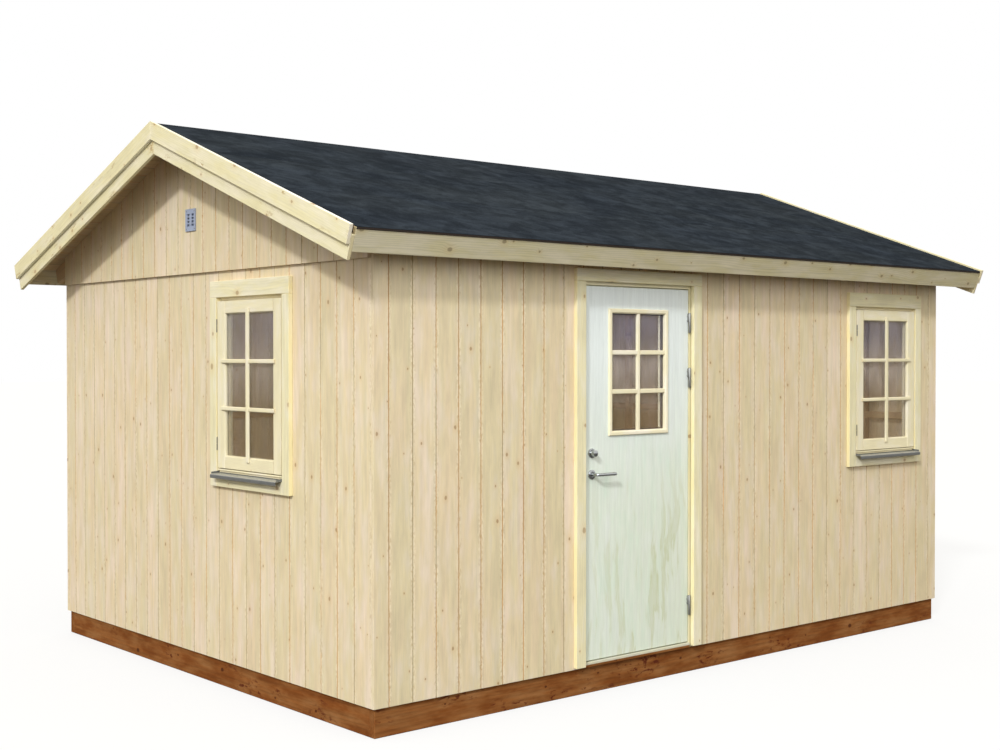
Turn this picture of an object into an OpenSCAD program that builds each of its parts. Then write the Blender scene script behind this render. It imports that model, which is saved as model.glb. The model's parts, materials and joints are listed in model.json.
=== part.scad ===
// Wooden garden shed: a hollow timber building with a pitched felt roof, a glazed door and windows.
// The origin is the middle of the footprint on the ground, with +X along the length and +Z up.
// The door wall faces -Y, and the gable wall with the window faces -X.

/* [Building] */
// Length of the walls over the cladding
wall_l = 4760; // [4200:10:6000]
// Width of the walls over the cladding
wall_w = 3470; // [3000:10:4400]
// Slope of the roof in degrees
roof_pitch = 20; // [15:0.5:26]

/* [Foundation and floor] */
// Thickness of the foundation beams, and depth of the wall frames that stand on them
beam_t = 45; // [40:1:70]
// Height of the foundation beams
beam_h = 145; // [120:5:220]
// Thickness of a floor joist
joist_t = 45; // [36:1:60]
// Height of a floor joist
joist_h = 95; // [70:5:120]
// Widest clear gap between floor joists
joist_gap_max = 440; // [300:10:520]
// Thickness of the floor boards
floor_t = 19; // [15:1:24]

/* [Walls] */
// Thickness of the wall cladding
clad_t = 16; // [12:1:24]
// Width of a wall stud or rail
stud_t = 45; // [36:1:60]
// Widest clear gap between studs
stud_gap_max = 480; // [300:10:520]
// Height of the underside of the middle rail
rail_h = 1380; // [1000:10:1600]
// Thickness of the gable panel above the wall
gable_t = 18; // [12:1:28]
// Height of the wall over the door frame, up to the top plates
header_h = 78; // [60:1:300]
// Height by which the gable panel hangs below the top of the wall frames
gable_drop = 73; // [50:1:100]
// Distance of the wall cladding's top edge below the top of the wall frames
clad_drop = 13; // [5:1:30]
// Distance of the gable panel's ends from the wall corners
gable_setback = 20; // [16:1:40]

/* [Roof] */
// Thickness of the roof felt
felt_t = 3; // [2:0.5:6]
// Depth of the felt's turned-down edge at the eaves
felt_hem = 12; // [8:1:25]
// Overhang of the felt's edge past the fascia
felt_lip = 3; // [2:0.5:8]
// Thickness of the roof boards
deck_t = 18; // [15:1:24]
// Thickness of a rafter
rafter_t = 45; // [36:1:60]
// Depth of a rafter, square to the slope
rafter_h = 95; // [80:5:140]
// Widest clear gap between rafters
rafter_gap_max = 480; // [400:10:520]
// Height of the ridge beam's sides
ridge_beam_h = 120; // [110:5:150]
// Level distance from the wall face to the edge of the roof at the eaves
eave_over = 198; // [140:1:320]
// Distance from the wall face to the end of the roof boards at the gables
verge_over = 230; // [150:5:320]
// Thickness of the fascia boards
fascia_t = 20; // [16:1:28]
// Width of the fascia boards
fascia_h = 118; // [115:1:170]
// Thickness of the blocks that close the eaves between rafters
block_t = 20; // [15:1:30]

/* [Verge boards] */
// Thickness of the lower verge boards
barge_t = 20; // [16:1:28]
// Width of the lower verge boards
barge_h = 120; // [95:5:160]
// Depth of the lower verge boards' top edge below the felt
barge_drop = 40; // [30:1:60]
// Thickness of the upper verge boards
wind_t = 20; // [16:1:28]
// Width of the upper verge boards
wind_h = 96; // [80:1:130]
// Rise of the upper verge boards' top edge above the felt
wind_rise = 10; // [5:1:25]

/* [Door] */
// Distance of the door's middle from the left end of the wall
door_from_left = 1805; // [1200:5:2100]
// Width of the door leaf
leaf_w = 824; // [720:1:920]
// Height of the door leaf
leaf_h = 2022; // [1900:1:2040]
// Thickness of the door leaf
leaf_t = 40; // [36:1:50]
// Clearance around the door leaf
door_gap = 6; // [5.5:0.5:8]
// Depth of the leaf's face behind the cladding's face
door_recess = 6; // [4:1:12]
// Height of the threshold
threshold_h = 27; // [24:1:40]
// Reach of the threshold past the cladding's face
threshold_out = 6; // [2:1:20]
// Thickness of the door jambs
jamb_t = 32; // [26:1:45]
// Reach of the jambs past the wall frame into the room
jamb_in = 15; // [6:1:30]
// Width of the stop that the leaf closes against
stop_w = 15; // [10:1:20]
// Width of the door casing
casing_w = 68; // [50:1:90]
// Thickness of the door and window casings
casing_t = 25; // [18:1:32]
// Width of jamb that shows beside the casing
casing_reveal = 12; // [11:1:20]
// Height of head jamb that shows under the casing
head_reveal = 18; // [8:1:26]
// Height of the casings' feet above the cladding's edge
casing_foot = 8; // [0:1:30]

/* [Door light] */
// Width of the cut-out for the door's glass
light_w = 431; // [300:1:520]
// Height of the cut-out for the door's glass
light_h = 655; // [400:1:760]
// Height of the leaf above the cut-out for the glass
light_drop = 138; // [100:1:220]
// Thickness of the door's sealed glass unit
unit_t = 20; // [14:1:26]
// Lap of the glazing bead over the leaf
bead_lap = 20; // [12:1:30]
// Reach of the glazing bead over the glass
bead_in = 6; // [4:1:20]
// Height of the glazing bead above the leaf's face
bead_t = 12; // [8:1:18]

/* [Door fittings] */
// Distance of the lever and the lock from the leaf's edge
backset = 50; // [45:1:70]
// Height of the lever above the leaf's foot
lever_up = 1005; // [900:1:1100]
// Length of the lever from its axis to its tip
lever_l = 140; // [100:1:160]
// Radius of the lever's bar
lever_r = 10; // [8:0.5:12]
// Distance of the lever's bar from the leaf
lever_out = 50; // [40:1:65]
// Radius of the lever's shaft
shaft_r = 9; // [7:0.5:9.5]
// Radius of the roses of the lever and the lock
rose_r = 26; // [22:1:32]
// Thickness of the roses
rose_t = 8; // [5:1:10]
// Height of the lock above the lever
lock_up = 115; // [80:1:140]
// Radius of the lock's cylinder
lock_r = 17; // [11:1:20]
// Reach of the lock's cylinder past its rose
lock_out = 28; // [4:1:36]
// Reach of the lock's thumb turn past its rose
turn_out = 16; // [10:1:24]
// Radius of the hinge knuckles
knuckle_r = 7; // [6:0.5:8]
// Radius of the hinge pins
hinge_pin_r = 4; // [3:0.5:4.5]
// Height of a hinge
hinge_h = 115; // [90:1:130]
// Distance of the hinge axis from the leaf's face
hinge_out = 9; // [8:0.5:12]
// Height of the bottom hinge above the leaf's foot
hinge_low_up = 154; // [80:1:300]
// Distance of the top hinge below the leaf's top
hinge_top_drop = 130; // [80:1:300]
// Distance of the middle hinge below the top hinge
hinge_mid_drop = 200; // [100:1:600]

/* [Windows] */
// Distance of the front window's middle from the right end of the wall
front_window_from_right = 625; // [520:5:900]
// Distance of the gable window's middle from the front corner
left_window_from_front = 1110; // [700:5:1700]
// Width of a window sash
sash_w = 652; // [500:1:700]
// Height of a window sash
sash_h = 916; // [700:1:930]
// Distance of a sash's top below the door leaf's top
sash_drop = 78; // [60:1:200]
// Thickness of a window sash
sash_t = 40; // [34:1:46]
// Reach of the sash past the cladding's face
sash_out = 22; // [6:1:24]
// Width of the sash's stiles
stile_w = 79; // [50:1:90]
// Height of the sash's top rail
top_rail_h = 71; // [50:1:90]
// Height of the sash's bottom rail
bottom_rail_h = 75; // [50:1:100]
// Thickness of a window pane
pane_t = 4; // [3:0.5:6]
// Depth of the pane's edge in the sash
pane_bite = 10; // [6:1:14]
// Clearance around a sash
sash_gap = 3; // [2:0.5:5]
// Thickness of the window frame
win_frame_t = 30; // [24:1:40]
// Reach of the window frame past the wall frame into the room
win_frame_in = 6; // [0:1:20]
// Width of the rebate that the sash closes against
rebate_w = 12; // [8:1:16]
// Distance of the casing from the sash
win_casing_gap = 11; // [8:1:20]
// Width of a window's side casings
win_casing_w = 68; // [50:1:90]
// Height of a window's head casing
win_head_h = 90; // [60:1:94]
// Distance of the head casing from the sash
win_head_gap = 20; // [12:1:26]
// Distance of the casings' foot below the sash
win_foot = 99; // [90:1:120]
// Height of a window's bottom casing
win_bottom_h = 68; // [50:1:69]

/* [Window sills] */
// Thickness of the sheet metal sill
sill_t = 2.5; // [2:0.5:4]
// Distance of the sill's back edge below the sash
sill_drop = 19; // [10:1:24]
// Height of the sill's turned-up back edge
sill_up = 4; // [3:1:7]
// Reach of the sill past the casings
sill_out = 40; // [20:1:60]
// Fall of the sill from back to front
sill_fall = 6; // [4:1:16]
// Height of the sill's front lip
sill_lip = 22; // [15:1:35]

/* [Gable vents] */
// Width of a vent
vent_w = 112; // [90:1:160]
// Height of a vent
vent_h = 125; // [90:1:170]
// Height of a vent's middle above the gable panel's bottom edge
vent_up = 301; // [150:1:400]
// Thickness of a vent
vent_t = 7; // [5:1:12]
// Width of the vent's rim outside the hole in the gable panel
vent_rim = 14; // [8:1:18]
// Width of a vent slot
vent_slot_w = 27; // [20:1:36]
// Height of a vent slot
vent_slot_h = 12; // [8:1:16]
// Distance between the slots of a column
vent_slot_gap = 7; // [5:1:12]
// Distance between the columns of slots
vent_column_gap = 22; // [6:1:30]
// Number of vent slots in a column
vent_rows = 4; // [2:1:5]
// Number of columns of vent slots
vent_columns = 2; // [1:1:3]

/* [Hidden] */
// Running clearance of a pin or a shaft
run_clear = 0.05;
// Hairline joint between boards of one frame
joint_gap = 0.5;
// Hairline between the sloping layers of the roof and what carries them
seat_gap = 0.05;
// Overrun of cuts
cut = 5;
// End play between the halves of a hinge
hinge_play = 1;
// Rest of the pin's bore above the pin
pin_free = 2;
// Clearance of the lever's shaft in the leaf
shaft_free = 2;
// Width of a hinge's fixing stem
stem_w = 12;
// Width of the lock's turn on the room side
turn_w = 10;
// Share of the half width at which the gable's side studs stand
gable_stud_share = 0.5;
// Facets of round pieces
$fn = 48;

half_l = wall_l / 2;
half_w = wall_w / 2;
door_x = door_from_left - half_l;
front_window_x = half_l - front_window_from_right;
left_window_y = left_window_from_front - half_w;
// Outer faces of the wall frames and the foundation
frame_x = half_l - clad_t;
frame_y = half_w - clad_t;
// Inner faces of the wall frames and the foundation
room_x = frame_x - beam_t;
room_y = frame_y - beam_t;
wall_d = clad_t + beam_t;
// Depths of the roof's layers below the felt's face
deck_d = felt_t;
rafter_d = deck_d + deck_t;
roof_d = rafter_d + rafter_h;

// Heights of the door frame, which set the height of the walls
leaf_z = beam_h + threshold_h + door_gap;
leaf_top = leaf_z + leaf_h;
head_z = leaf_top + door_gap;
door_hole_top = head_z + jamb_t;
plate_z = door_hole_top + header_h;
plate_h = plate_z + stud_t;
gable_line_h = plate_h - gable_drop;
ridge_h = plate_h + frame_y * tan(roof_pitch) + roof_d / cos(roof_pitch);
eave_s = (half_w + eave_over) / cos(roof_pitch);
deck_s = eave_s - fascia_t;
deck_x = half_l + verge_over;
ridge_beam_top = ridge_h - (rafter_d + seat_gap) / cos(roof_pitch) - beam_t / 2 * tan(roof_pitch);
ridge_beam_z = ridge_beam_top - ridge_beam_h;
rafter_s = deck_s - seat_gap;

// Door frame and leaf
leaf_y = -half_w + door_recess;
leaf_in = leaf_y + leaf_t;
jamb_x = leaf_w / 2 + door_gap;
door_hole_x = jamb_x + jamb_t;
jamb_y = -room_y + jamb_in;
stop_y = leaf_in + door_gap;
door_casing_x = jamb_x + casing_reveal;
door_casing_z = head_z + head_reveal;
hinge_x = door_x + leaf_w / 2 + door_gap / 2;
hinge_y = leaf_y - hinge_out;
hinge_top_z = leaf_top - hinge_top_drop - hinge_h;
hinge_zs = [leaf_z + hinge_low_up, hinge_top_z - hinge_mid_drop - hinge_h, hinge_top_z];
lever_x = door_x - leaf_w / 2 + backset;
lever_z = leaf_z + lever_up;
lock_z = lever_z + lock_up;
light_z = leaf_top - light_drop - light_h / 2;
light_bead_w = light_w + 2 * bead_lap;
light_bead_h = light_h + 2 * bead_lap;
tongue_d = (leaf_t - unit_t) / 2;

// Window frame
sash_z = leaf_top - sash_drop - sash_h;
win_x = sash_w / 2 + sash_gap + win_frame_t;
win_z = sash_z - sash_gap - win_frame_t;
win_top = sash_z + sash_h + sash_gap + win_frame_t;
win_d = wall_d + win_frame_in;
win_casing_x = sash_w / 2 + win_casing_gap;
win_head_z = sash_z + sash_h + win_head_gap;
win_foot_z = sash_z - win_foot;
rebate_y = sash_t - sash_out;
pane_w = sash_w - 2 * stile_w;
pane_h = sash_h - top_rail_h - bottom_rail_h;
pane_z = sash_z + bottom_rail_h;
pane_y = (rebate_y - sash_out - pane_t) / 2;
sill_z = sash_z - sill_drop;
vent_z = gable_line_h + vent_up;

// Stud places: left edges of the studs that fill the span from a to b
function infill(a, b, t, gap) =
    let (n = max(0, ceil((b - a - gap) / (gap + t))), g = (b - a - n * t) / (n + 1))
    [for (i = [1 : 1 : n]) a + i * g + (i - 1) * t];

// Left edges of the studs of a wall frame from a to b, with posts beside each opening
function studs_plain(a, b) =
    concat([a], infill(a + stud_t, b - stud_t, stud_t, stud_gap_max), [b - stud_t]);

door_left = door_x - door_hole_x;
door_right = door_x + door_hole_x;
front_win_left = front_window_x - win_x;
front_win_right = front_window_x + win_x;
left_win_front = left_window_y - win_x;
left_win_back = left_window_y + win_x;
front_studs = concat(
    studs_plain(-frame_x, door_left),
    studs_plain(door_right, front_win_left),
    studs_plain(front_win_right, frame_x));
back_studs = studs_plain(-frame_x, frame_x);
left_studs = concat(studs_plain(-room_y, left_win_front), studs_plain(left_win_back, room_y));
right_studs = studs_plain(-room_y, room_y);
sole_top = beam_h + stud_t;
joist_xs = infill(-room_x, room_x, joist_t, joist_gap_max);
rafter_inner_xs = infill(-half_l + rafter_t, half_l - rafter_t, rafter_t, rafter_gap_max);
rafter_wall_xs = concat([-half_l], rafter_inner_xs, [half_l - rafter_t]);
rafter_xs = concat([-deck_x], rafter_wall_xs, [deck_x - rafter_t]);

// Node to draw

// Point on the front slope, s along the slope from the ridge and d below the felt's face, as [y, z]
function on_slope(s, d) = [
    d * sin(roof_pitch) - s * cos(roof_pitch),
    ridge_h - s * sin(roof_pitch) - d * cos(roof_pitch)];

// Point on the front slope, y before the ridge and d below the felt's face, as [y, z]
function at_y(y, d) = [-y, ridge_h - y * tan(roof_pitch) - d / cos(roof_pitch)];

// Outline in [y, z], drawn out along X from x0 to x1
module along_x(x0, x1) {
    translate([x0, 0, 0]) rotate([90, 0, 90]) linear_extrude(height = x1 - x0) children();
}

// Block between two corners
module block(low, high) {
    translate(low) cube(high - low);
}

// Layer of the front slope from the ridge to s, between two depths
module slope_layer(x0, x1, s, d0, d1) {
    along_x(x0, x1) polygon([at_y(0, d0), on_slope(s, d0), on_slope(s, d1), at_y(0, d1)]);
}

module at_back() {
    mirror([0, 1, 0]) children();
}

module at_right() {
    mirror([1, 0, 0]) children();
}

// Wall-side frame of a window: X along the wall, Y into the building from the cladding's face
module at_front_window() {
    translate([front_window_x, -half_w, 0]) children();
}

module at_left_window() {
    translate([-half_l, left_window_y, 0]) rotate([0, 0, -90]) children();
}

// Foundation and floor

module foundation_long_beams() {
    color([0.41, 0.31, 0.22])
    for (y = [-frame_y, room_y])
        block([-frame_x, y, 0], [frame_x, y + beam_t, beam_h]);
}

module foundation_short_beams() {
    color([0.41, 0.31, 0.22])
    for (x = [-frame_x, room_x])
        block([x, -room_y, 0], [x + beam_t, room_y, beam_h]);
}

module floor_joists() {
    color([0.41, 0.31, 0.22])
    for (x = joist_xs)
        block([x, -room_y, beam_h - joist_h], [x + joist_t, room_y, beam_h]);
}

module floor_boards() {
    color([0.80, 0.70, 0.53])
    difference() {
        block([-room_x, -room_y, beam_h], [room_x, room_y, beam_h + floor_t]);
        block(
            [door_left - joint_gap, -room_y - cut, beam_h - cut],
            [door_right + joint_gap, jamb_y + joint_gap, beam_h + floor_t + cut]);
    }
}

// Wall cladding

// Strip of the front cladding with its top cut to the slope
module front_strip(x0, x1, z) {
    along_x(x0, x1) polygon([
        [-half_w, z], [-frame_y, z], at_y(frame_y, roof_d + seat_gap), at_y(half_w, roof_d + seat_gap)]);
}

// Hole for a window frame
module window_hole() {
    block([-win_x, -cut, win_z], [win_x, wall_d + cut, win_top]);
}

module front_wall_left() {
    color([0.87, 0.80, 0.67]) front_strip(-half_l, door_left, beam_h);
}

module front_wall_right() {
    color([0.87, 0.80, 0.67])
    difference() {
        front_strip(door_right, half_l, beam_h);
        at_front_window() window_hole();
    }
}

module front_wall_over_door() {
    color([0.87, 0.80, 0.67]) front_strip(door_left, door_right, door_hole_top);
}

module back_wall() {
    color([0.87, 0.80, 0.67]) at_back() front_strip(-half_l, half_l, beam_h);
}

module end_cladding() {
    block([-half_l, -frame_y, beam_h], [-frame_x, frame_y, plate_h - clad_drop]);
}

module left_wall() {
    color([0.87, 0.80, 0.67])
    difference() {
        end_cladding();
        at_left_window() window_hole();
    }
}

module right_wall() {
    color([0.87, 0.80, 0.67]) at_right() end_cladding();
}

// Section of the ridge beam
module ridge_section() {
    polygon([
        [-beam_t / 2, ridge_beam_z], [beam_t / 2, ridge_beam_z],
        [beam_t / 2, ridge_beam_top], at_y(0, rafter_d + seat_gap), [-beam_t / 2, ridge_beam_top]]);
}

// Gable panel, notched for the ridge beam and pierced behind the vent
module gable_panel() {
    end = half_w - gable_setback;
    top = at_y(end, rafter_d + seat_gap);
    notch = at_y(beam_t / 2, rafter_d + seat_gap);
    difference() {
        along_x(-half_l - gable_t, -half_l)
            polygon([
                [-end, gable_line_h], [end, gable_line_h], [end, top.y], [beam_t / 2, notch.y],
                [beam_t / 2, ridge_beam_z], [-beam_t / 2, ridge_beam_z], notch, top]);
        block(
            [-half_l - gable_t - cut, vent_rim - vent_w / 2, vent_z + vent_rim - vent_h / 2],
            [-half_l + cut, vent_w / 2 - vent_rim, vent_z + vent_h / 2 - vent_rim]);
    }
}

module left_gable() {
    color([0.87, 0.80, 0.67]) gable_panel();
}

module right_gable() {
    color([0.87, 0.80, 0.67]) at_right() gable_panel();
}

// Wall frames

module long_wall_studs() {
    color([0.82, 0.72, 0.56]) {
        for (x = front_studs)
            block([x, -frame_y, sole_top], [x + stud_t, -room_y, plate_z]);
        for (x = back_studs)
            block([x, room_y, sole_top], [x + stud_t, frame_y, plate_z]);
    }
}

module short_wall_studs() {
    color([0.82, 0.72, 0.56]) {
        for (y = left_studs)
            block([-frame_x, y, sole_top], [-room_x, y + stud_t, plate_z]);
        for (y = right_studs)
            block([room_x, y, sole_top], [frame_x, y + stud_t, plate_z]);
    }
}

// Top plate of the front wall, cut to the slope under the rafters
module long_top_plate() {
    along_x(-frame_x, frame_x)
        polygon([
            [-frame_y, plate_z], [-room_y, plate_z],
            at_y(room_y, roof_d + seat_gap), at_y(frame_y, roof_d + seat_gap)]);
}

// True for a bay that an opening takes up
function is_open(a) = len([for (o = [door_left, front_win_left]) if (abs(a - o) < joint_gap) o]) > 0;

module long_wall_plates() {
    color([0.82, 0.72, 0.56]) {
        long_top_plate();
        at_back() long_top_plate();
        block([-frame_x, -frame_y, beam_h], [door_left, -room_y, sole_top]);
        block([door_right, -frame_y, beam_h], [frame_x, -room_y, sole_top]);
        block([-frame_x, room_y, beam_h], [frame_x, frame_y, sole_top]);
        block([door_left, -frame_y, door_hole_top], [door_right, -room_y, plate_z - joint_gap]);
        for (i = [1 : len(front_studs) - 1])
            if (!is_open(front_studs[i - 1] + stud_t))
                block(
                    [front_studs[i - 1] + stud_t, -frame_y, rail_h],
                    [front_studs[i], -room_y, rail_h + stud_t]);
        for (i = [1 : len(back_studs) - 1])
            block([back_studs[i - 1] + stud_t, room_y, rail_h], [back_studs[i], frame_y, rail_h + stud_t]);
        block([front_win_left, -frame_y, win_z - stud_t], [front_win_right, -room_y, win_z]);
        block([front_win_left, -frame_y, win_top], [front_win_right, -room_y, win_top + stud_t]);
    }
}

module short_wall_plates() {
    color([0.82, 0.72, 0.56]) {
        for (x = [-frame_x, room_x]) {
            block([x, -room_y, beam_h], [x + beam_t, room_y, sole_top]);
            block([x, -room_y, plate_z], [x + beam_t, room_y, plate_h]);
        }
        for (i = [1 : len(left_studs) - 1])
            if (abs(left_studs[i - 1] + stud_t - left_win_front) > joint_gap)
                block(
                    [-frame_x, left_studs[i - 1] + stud_t, rail_h],
                    [-room_x, left_studs[i], rail_h + stud_t]);
        for (i = [1 : len(right_studs) - 1])
            block(
                [room_x, right_studs[i - 1] + stud_t, rail_h],
                [frame_x, right_studs[i], rail_h + stud_t]);
        block([-frame_x, left_win_front, win_z - stud_t], [-room_x, left_win_back, win_z]);
        block([-frame_x, left_win_front, win_top], [-room_x, left_win_back, win_top + stud_t]);
    }
}

// Post under the ridge beam and shorter studs under the end rafters
module gable_stud_set() {
    block([-frame_x, -beam_t / 2, plate_h], [-room_x, beam_t / 2, ridge_beam_z]);
    y = gable_stud_share * half_w;
    for (side = [0, 1]) mirror([0, side, 0])
        along_x(-frame_x, -room_x)
            polygon([
                [-y, plate_h], [stud_t - y, plate_h],
                at_y(y - stud_t, roof_d + seat_gap), at_y(y, roof_d + seat_gap)]);
}

module gable_studs() {
    color([0.82, 0.72, 0.56]) {
        gable_stud_set();
        at_right() gable_stud_set();
    }
}

// Roof

module ridge_beam() {
    color([0.82, 0.72, 0.56]) along_x(-deck_x, deck_x) ridge_section();
}

module front_rafters() {
    color([0.82, 0.72, 0.56])
    for (x = rafter_xs)
        along_x(x, x + rafter_t)
            polygon([
                at_y(beam_t / 2, rafter_d + seat_gap), on_slope(rafter_s, rafter_d + seat_gap),
                on_slope(rafter_s, roof_d), at_y(beam_t / 2, roof_d)]);
}

module back_rafters() {
    at_back() front_rafters();
}

// Board over the front wall plate between two rafters
module eave_block(x0, x1) {
    along_x(x0, x1)
        polygon([
            at_y(frame_y, roof_d), at_y(frame_y - block_t, roof_d),
            at_y(frame_y - block_t, rafter_d + seat_gap), at_y(frame_y, rafter_d + seat_gap)]);
}

module eave_blocks() {
    color([0.82, 0.72, 0.56])
    for (side = [0, 1]) mirror([0, side, 0])
        for (i = [1 : len(rafter_wall_xs) - 1])
            eave_block(rafter_wall_xs[i - 1] + rafter_t, rafter_wall_xs[i]);
}

module front_roof_boards() {
    color([0.80, 0.70, 0.53]) slope_layer(-deck_x, deck_x, deck_s, deck_d, rafter_d);
}

module back_roof_boards() {
    at_back() front_roof_boards();
}

module front_roof_felt() {
    color([0.26, 0.28, 0.32])
    along_x(-deck_x, deck_x)
        polygon([
            at_y(0, 0), on_slope(eave_s + felt_lip, 0), on_slope(eave_s + felt_lip, felt_hem),
            on_slope(eave_s + seat_gap, felt_hem), on_slope(eave_s + seat_gap, felt_t - seat_gap),
            at_y(0, felt_t - seat_gap)]);
}

module back_roof_felt() {
    at_back() front_roof_felt();
}

module front_fascia() {
    color([0.89, 0.84, 0.74])
    along_x(-deck_x, deck_x)
        polygon([
            on_slope(deck_s, deck_d), on_slope(eave_s, deck_d),
            on_slope(eave_s, deck_d + fascia_h), on_slope(deck_s, deck_d + fascia_h)]);
}

module back_fascia() {
    at_back() front_fascia();
}

module front_lower_verge_boards() {
    color([0.89, 0.84, 0.74])
    for (side = [0, 1]) mirror([side, 0, 0])
        slope_layer(-deck_x - barge_t, -deck_x, eave_s, barge_drop, barge_drop + barge_h);
}

module back_lower_verge_boards() {
    at_back() front_lower_verge_boards();
}

module front_upper_verge_boards() {
    color([0.89, 0.84, 0.74])
    for (side = [0, 1]) mirror([side, 0, 0])
        slope_layer(-deck_x - barge_t - wind_t, -deck_x - barge_t, eave_s, -wind_rise, wind_h - wind_rise);
}

module back_upper_verge_boards() {
    at_back() front_upper_verge_boards();
}

// Windows, in the wall-side frame of a window

// Boards around a window: head, foot and sides, with hairline joints
module window_casing() {
    outer = win_casing_x + win_casing_w;
    block([-outer, -casing_t, win_head_z], [outer, 0, win_head_z + win_head_h]);
    block(
        [joint_gap - win_casing_x, -casing_t, win_foot_z],
        [win_casing_x - joint_gap, 0, win_foot_z + win_bottom_h]);
    for (x = [-outer, win_casing_x])
        block([x, -casing_t, win_foot_z], [x + win_casing_w, 0, win_head_z - joint_gap]);
}

// Rebated frame in the wall
module window_frame() {
    hole_x = sash_w / 2 + sash_gap;
    low = sash_z - sash_gap;
    high = sash_z + sash_h + sash_gap;
    difference() {
        block([-win_x, 0, win_z], [win_x, win_d, win_top]);
        block([-hole_x, -cut, low], [hole_x, rebate_y, high]);
        block([rebate_w - hole_x, 0, low + rebate_w], [hole_x - rebate_w, win_d + cut, high - rebate_w]);
    }
}

// Pane with its edges in the sash
module window_pane() {
    block(
        [-pane_w / 2 - pane_bite, pane_y, pane_z - pane_bite],
        [pane_w / 2 + pane_bite, pane_y + pane_t, pane_z + pane_h + pane_bite]);
}

// Stiles and rails, grooved for the pane
module window_sash() {
    difference() {
        block([-sash_w / 2, -sash_out, sash_z], [sash_w / 2, rebate_y, sash_z + sash_h]);
        block([-pane_w / 2, -sash_out - cut, pane_z], [pane_w / 2, rebate_y + cut, pane_z + pane_h]);
        window_pane();
    }
}

// Bent sheet that sheds water over the bottom casing
module window_sill() {
    front = casing_t + sill_out;
    front_z = sill_z - sill_fall;
    along_sill = win_casing_x - joint_gap;
    along_x(-along_sill, along_sill)
        polygon([
            [0, sill_z + sill_up], [-sill_t, sill_z + sill_up], [-sill_t, sill_z],
            [-front, front_z], [-front, front_z - sill_lip], [sill_t - front, front_z - sill_lip],
            [sill_t - front, front_z - sill_t], [0, sill_z - sill_t]]);
}

module left_window_casing() {
    color([0.90, 0.85, 0.75]) at_left_window() window_casing();
}

module left_window_frame() {
    color([0.88, 0.82, 0.70]) at_left_window() window_frame();
}

module left_window_sash() {
    color([0.88, 0.82, 0.70]) at_left_window() window_sash();
}

module left_window_pane() {
    color([0.45, 0.40, 0.40, 0.4]) at_left_window() window_pane();
}

module left_window_sill() {
    color([0.58, 0.60, 0.63]) at_left_window() window_sill();
}

module front_window_casing() {
    color([0.90, 0.85, 0.75]) at_front_window() window_casing();
}

module front_window_frame() {
    color([0.88, 0.82, 0.70]) at_front_window() window_frame();
}

module front_window_sash() {
    color([0.88, 0.82, 0.70]) at_front_window() window_sash();
}

module front_window_pane() {
    color([0.45, 0.40, 0.40, 0.4]) at_front_window() window_pane();
}

module front_window_sill() {
    color([0.58, 0.60, 0.63]) at_front_window() window_sill();
}

// Door

// Jambs with stops, and the head between them
module door_frame() {
    color([0.88, 0.87, 0.80]) {
        for (side = [0, 1]) translate([door_x, 0, 0]) mirror([side, 0, 0])
            translate([0, 0, beam_h]) linear_extrude(height = door_hole_top - beam_h)
                polygon([
                    [jamb_x, leaf_y], [door_hole_x, leaf_y], [door_hole_x, jamb_y],
                    [jamb_x - stop_w, jamb_y], [jamb_x - stop_w, stop_y], [jamb_x, stop_y]]);
        head_x = jamb_x - joint_gap;
        stop_x = jamb_x - stop_w - joint_gap;
        block([door_x - head_x, leaf_y, head_z], [door_x + head_x, stop_y - joint_gap, door_hole_top]);
        block([door_x - stop_x, leaf_y, head_z], [door_x + stop_x, jamb_y, door_hole_top]);
        block([door_x - stop_x, stop_y, head_z - stop_w], [door_x + stop_x, jamb_y, head_z]);
    }
}

module door_threshold() {
    color([0.80, 0.79, 0.74])
    difference() {
        block(
            [door_x + joint_gap - jamb_x, -half_w - threshold_out, beam_h],
            [door_x + jamb_x - joint_gap, jamb_y, beam_h + threshold_h]);
        for (x = [joint_gap - jamb_x, jamb_x - stop_w - joint_gap])
            block(
                [door_x + x - joint_gap, stop_y - joint_gap, beam_h - cut],
                [door_x + x + stop_w + joint_gap, jamb_y + cut, beam_h + threshold_h + cut]);
    }
}

module door_casing() {
    color([0.90, 0.85, 0.75]) {
        outer = door_casing_x + casing_w;
        block(
            [door_x - outer, -half_w - casing_t, door_casing_z],
            [door_x + outer, -half_w, door_casing_z + casing_w]);
        for (x = [-outer, door_casing_x])
            block(
                [door_x + x, -half_w - casing_t, beam_h + casing_foot],
                [door_x + x + casing_w, -half_w, door_casing_z - joint_gap]);
    }
}

// Cylinder along Y from y0 to y1
module round_y(x, z, r, y0, y1) {
    translate([x, y0, z]) rotate([-90, 0, 0]) cylinder(r = r, h = y1 - y0);
}

// Rectangular opening in the leaf, widened by edge on each side
module light_block(edge, y0, y1) {
    block(
        [door_x - light_w / 2 - edge, y0, light_z - light_h / 2 - edge],
        [door_x + light_w / 2 + edge, y1, light_z + light_h / 2 + edge]);
}

module door_leaf() {
    color([0.87, 0.87, 0.80])
    difference() {
        block([door_x - leaf_w / 2, leaf_y, leaf_z], [door_x + leaf_w / 2, leaf_in, leaf_top]);
        light_block(0, leaf_y - cut, leaf_in + cut);
        round_y(lever_x, lever_z, shaft_r + shaft_free, leaf_y - cut, leaf_in + cut);
    }
}

// Glazing beads on both faces, each with a tongue down to the glass
module door_bead() {
    color([0.88, 0.87, 0.80]) {
        difference() {
            union() {
                light_block(bead_lap, leaf_y - bead_t, leaf_y);
                light_block(0, leaf_y, leaf_y + tongue_d);
            }
            light_block(-bead_in, leaf_y - bead_t - cut, leaf_y + tongue_d + cut);
        }
        difference() {
            union() {
                light_block(bead_lap, leaf_in, leaf_in + bead_t);
                light_block(0, leaf_in - tongue_d, leaf_in);
            }
            light_block(-bead_in, leaf_in - tongue_d - cut, leaf_in + bead_t + cut);
        }
    }
}

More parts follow.
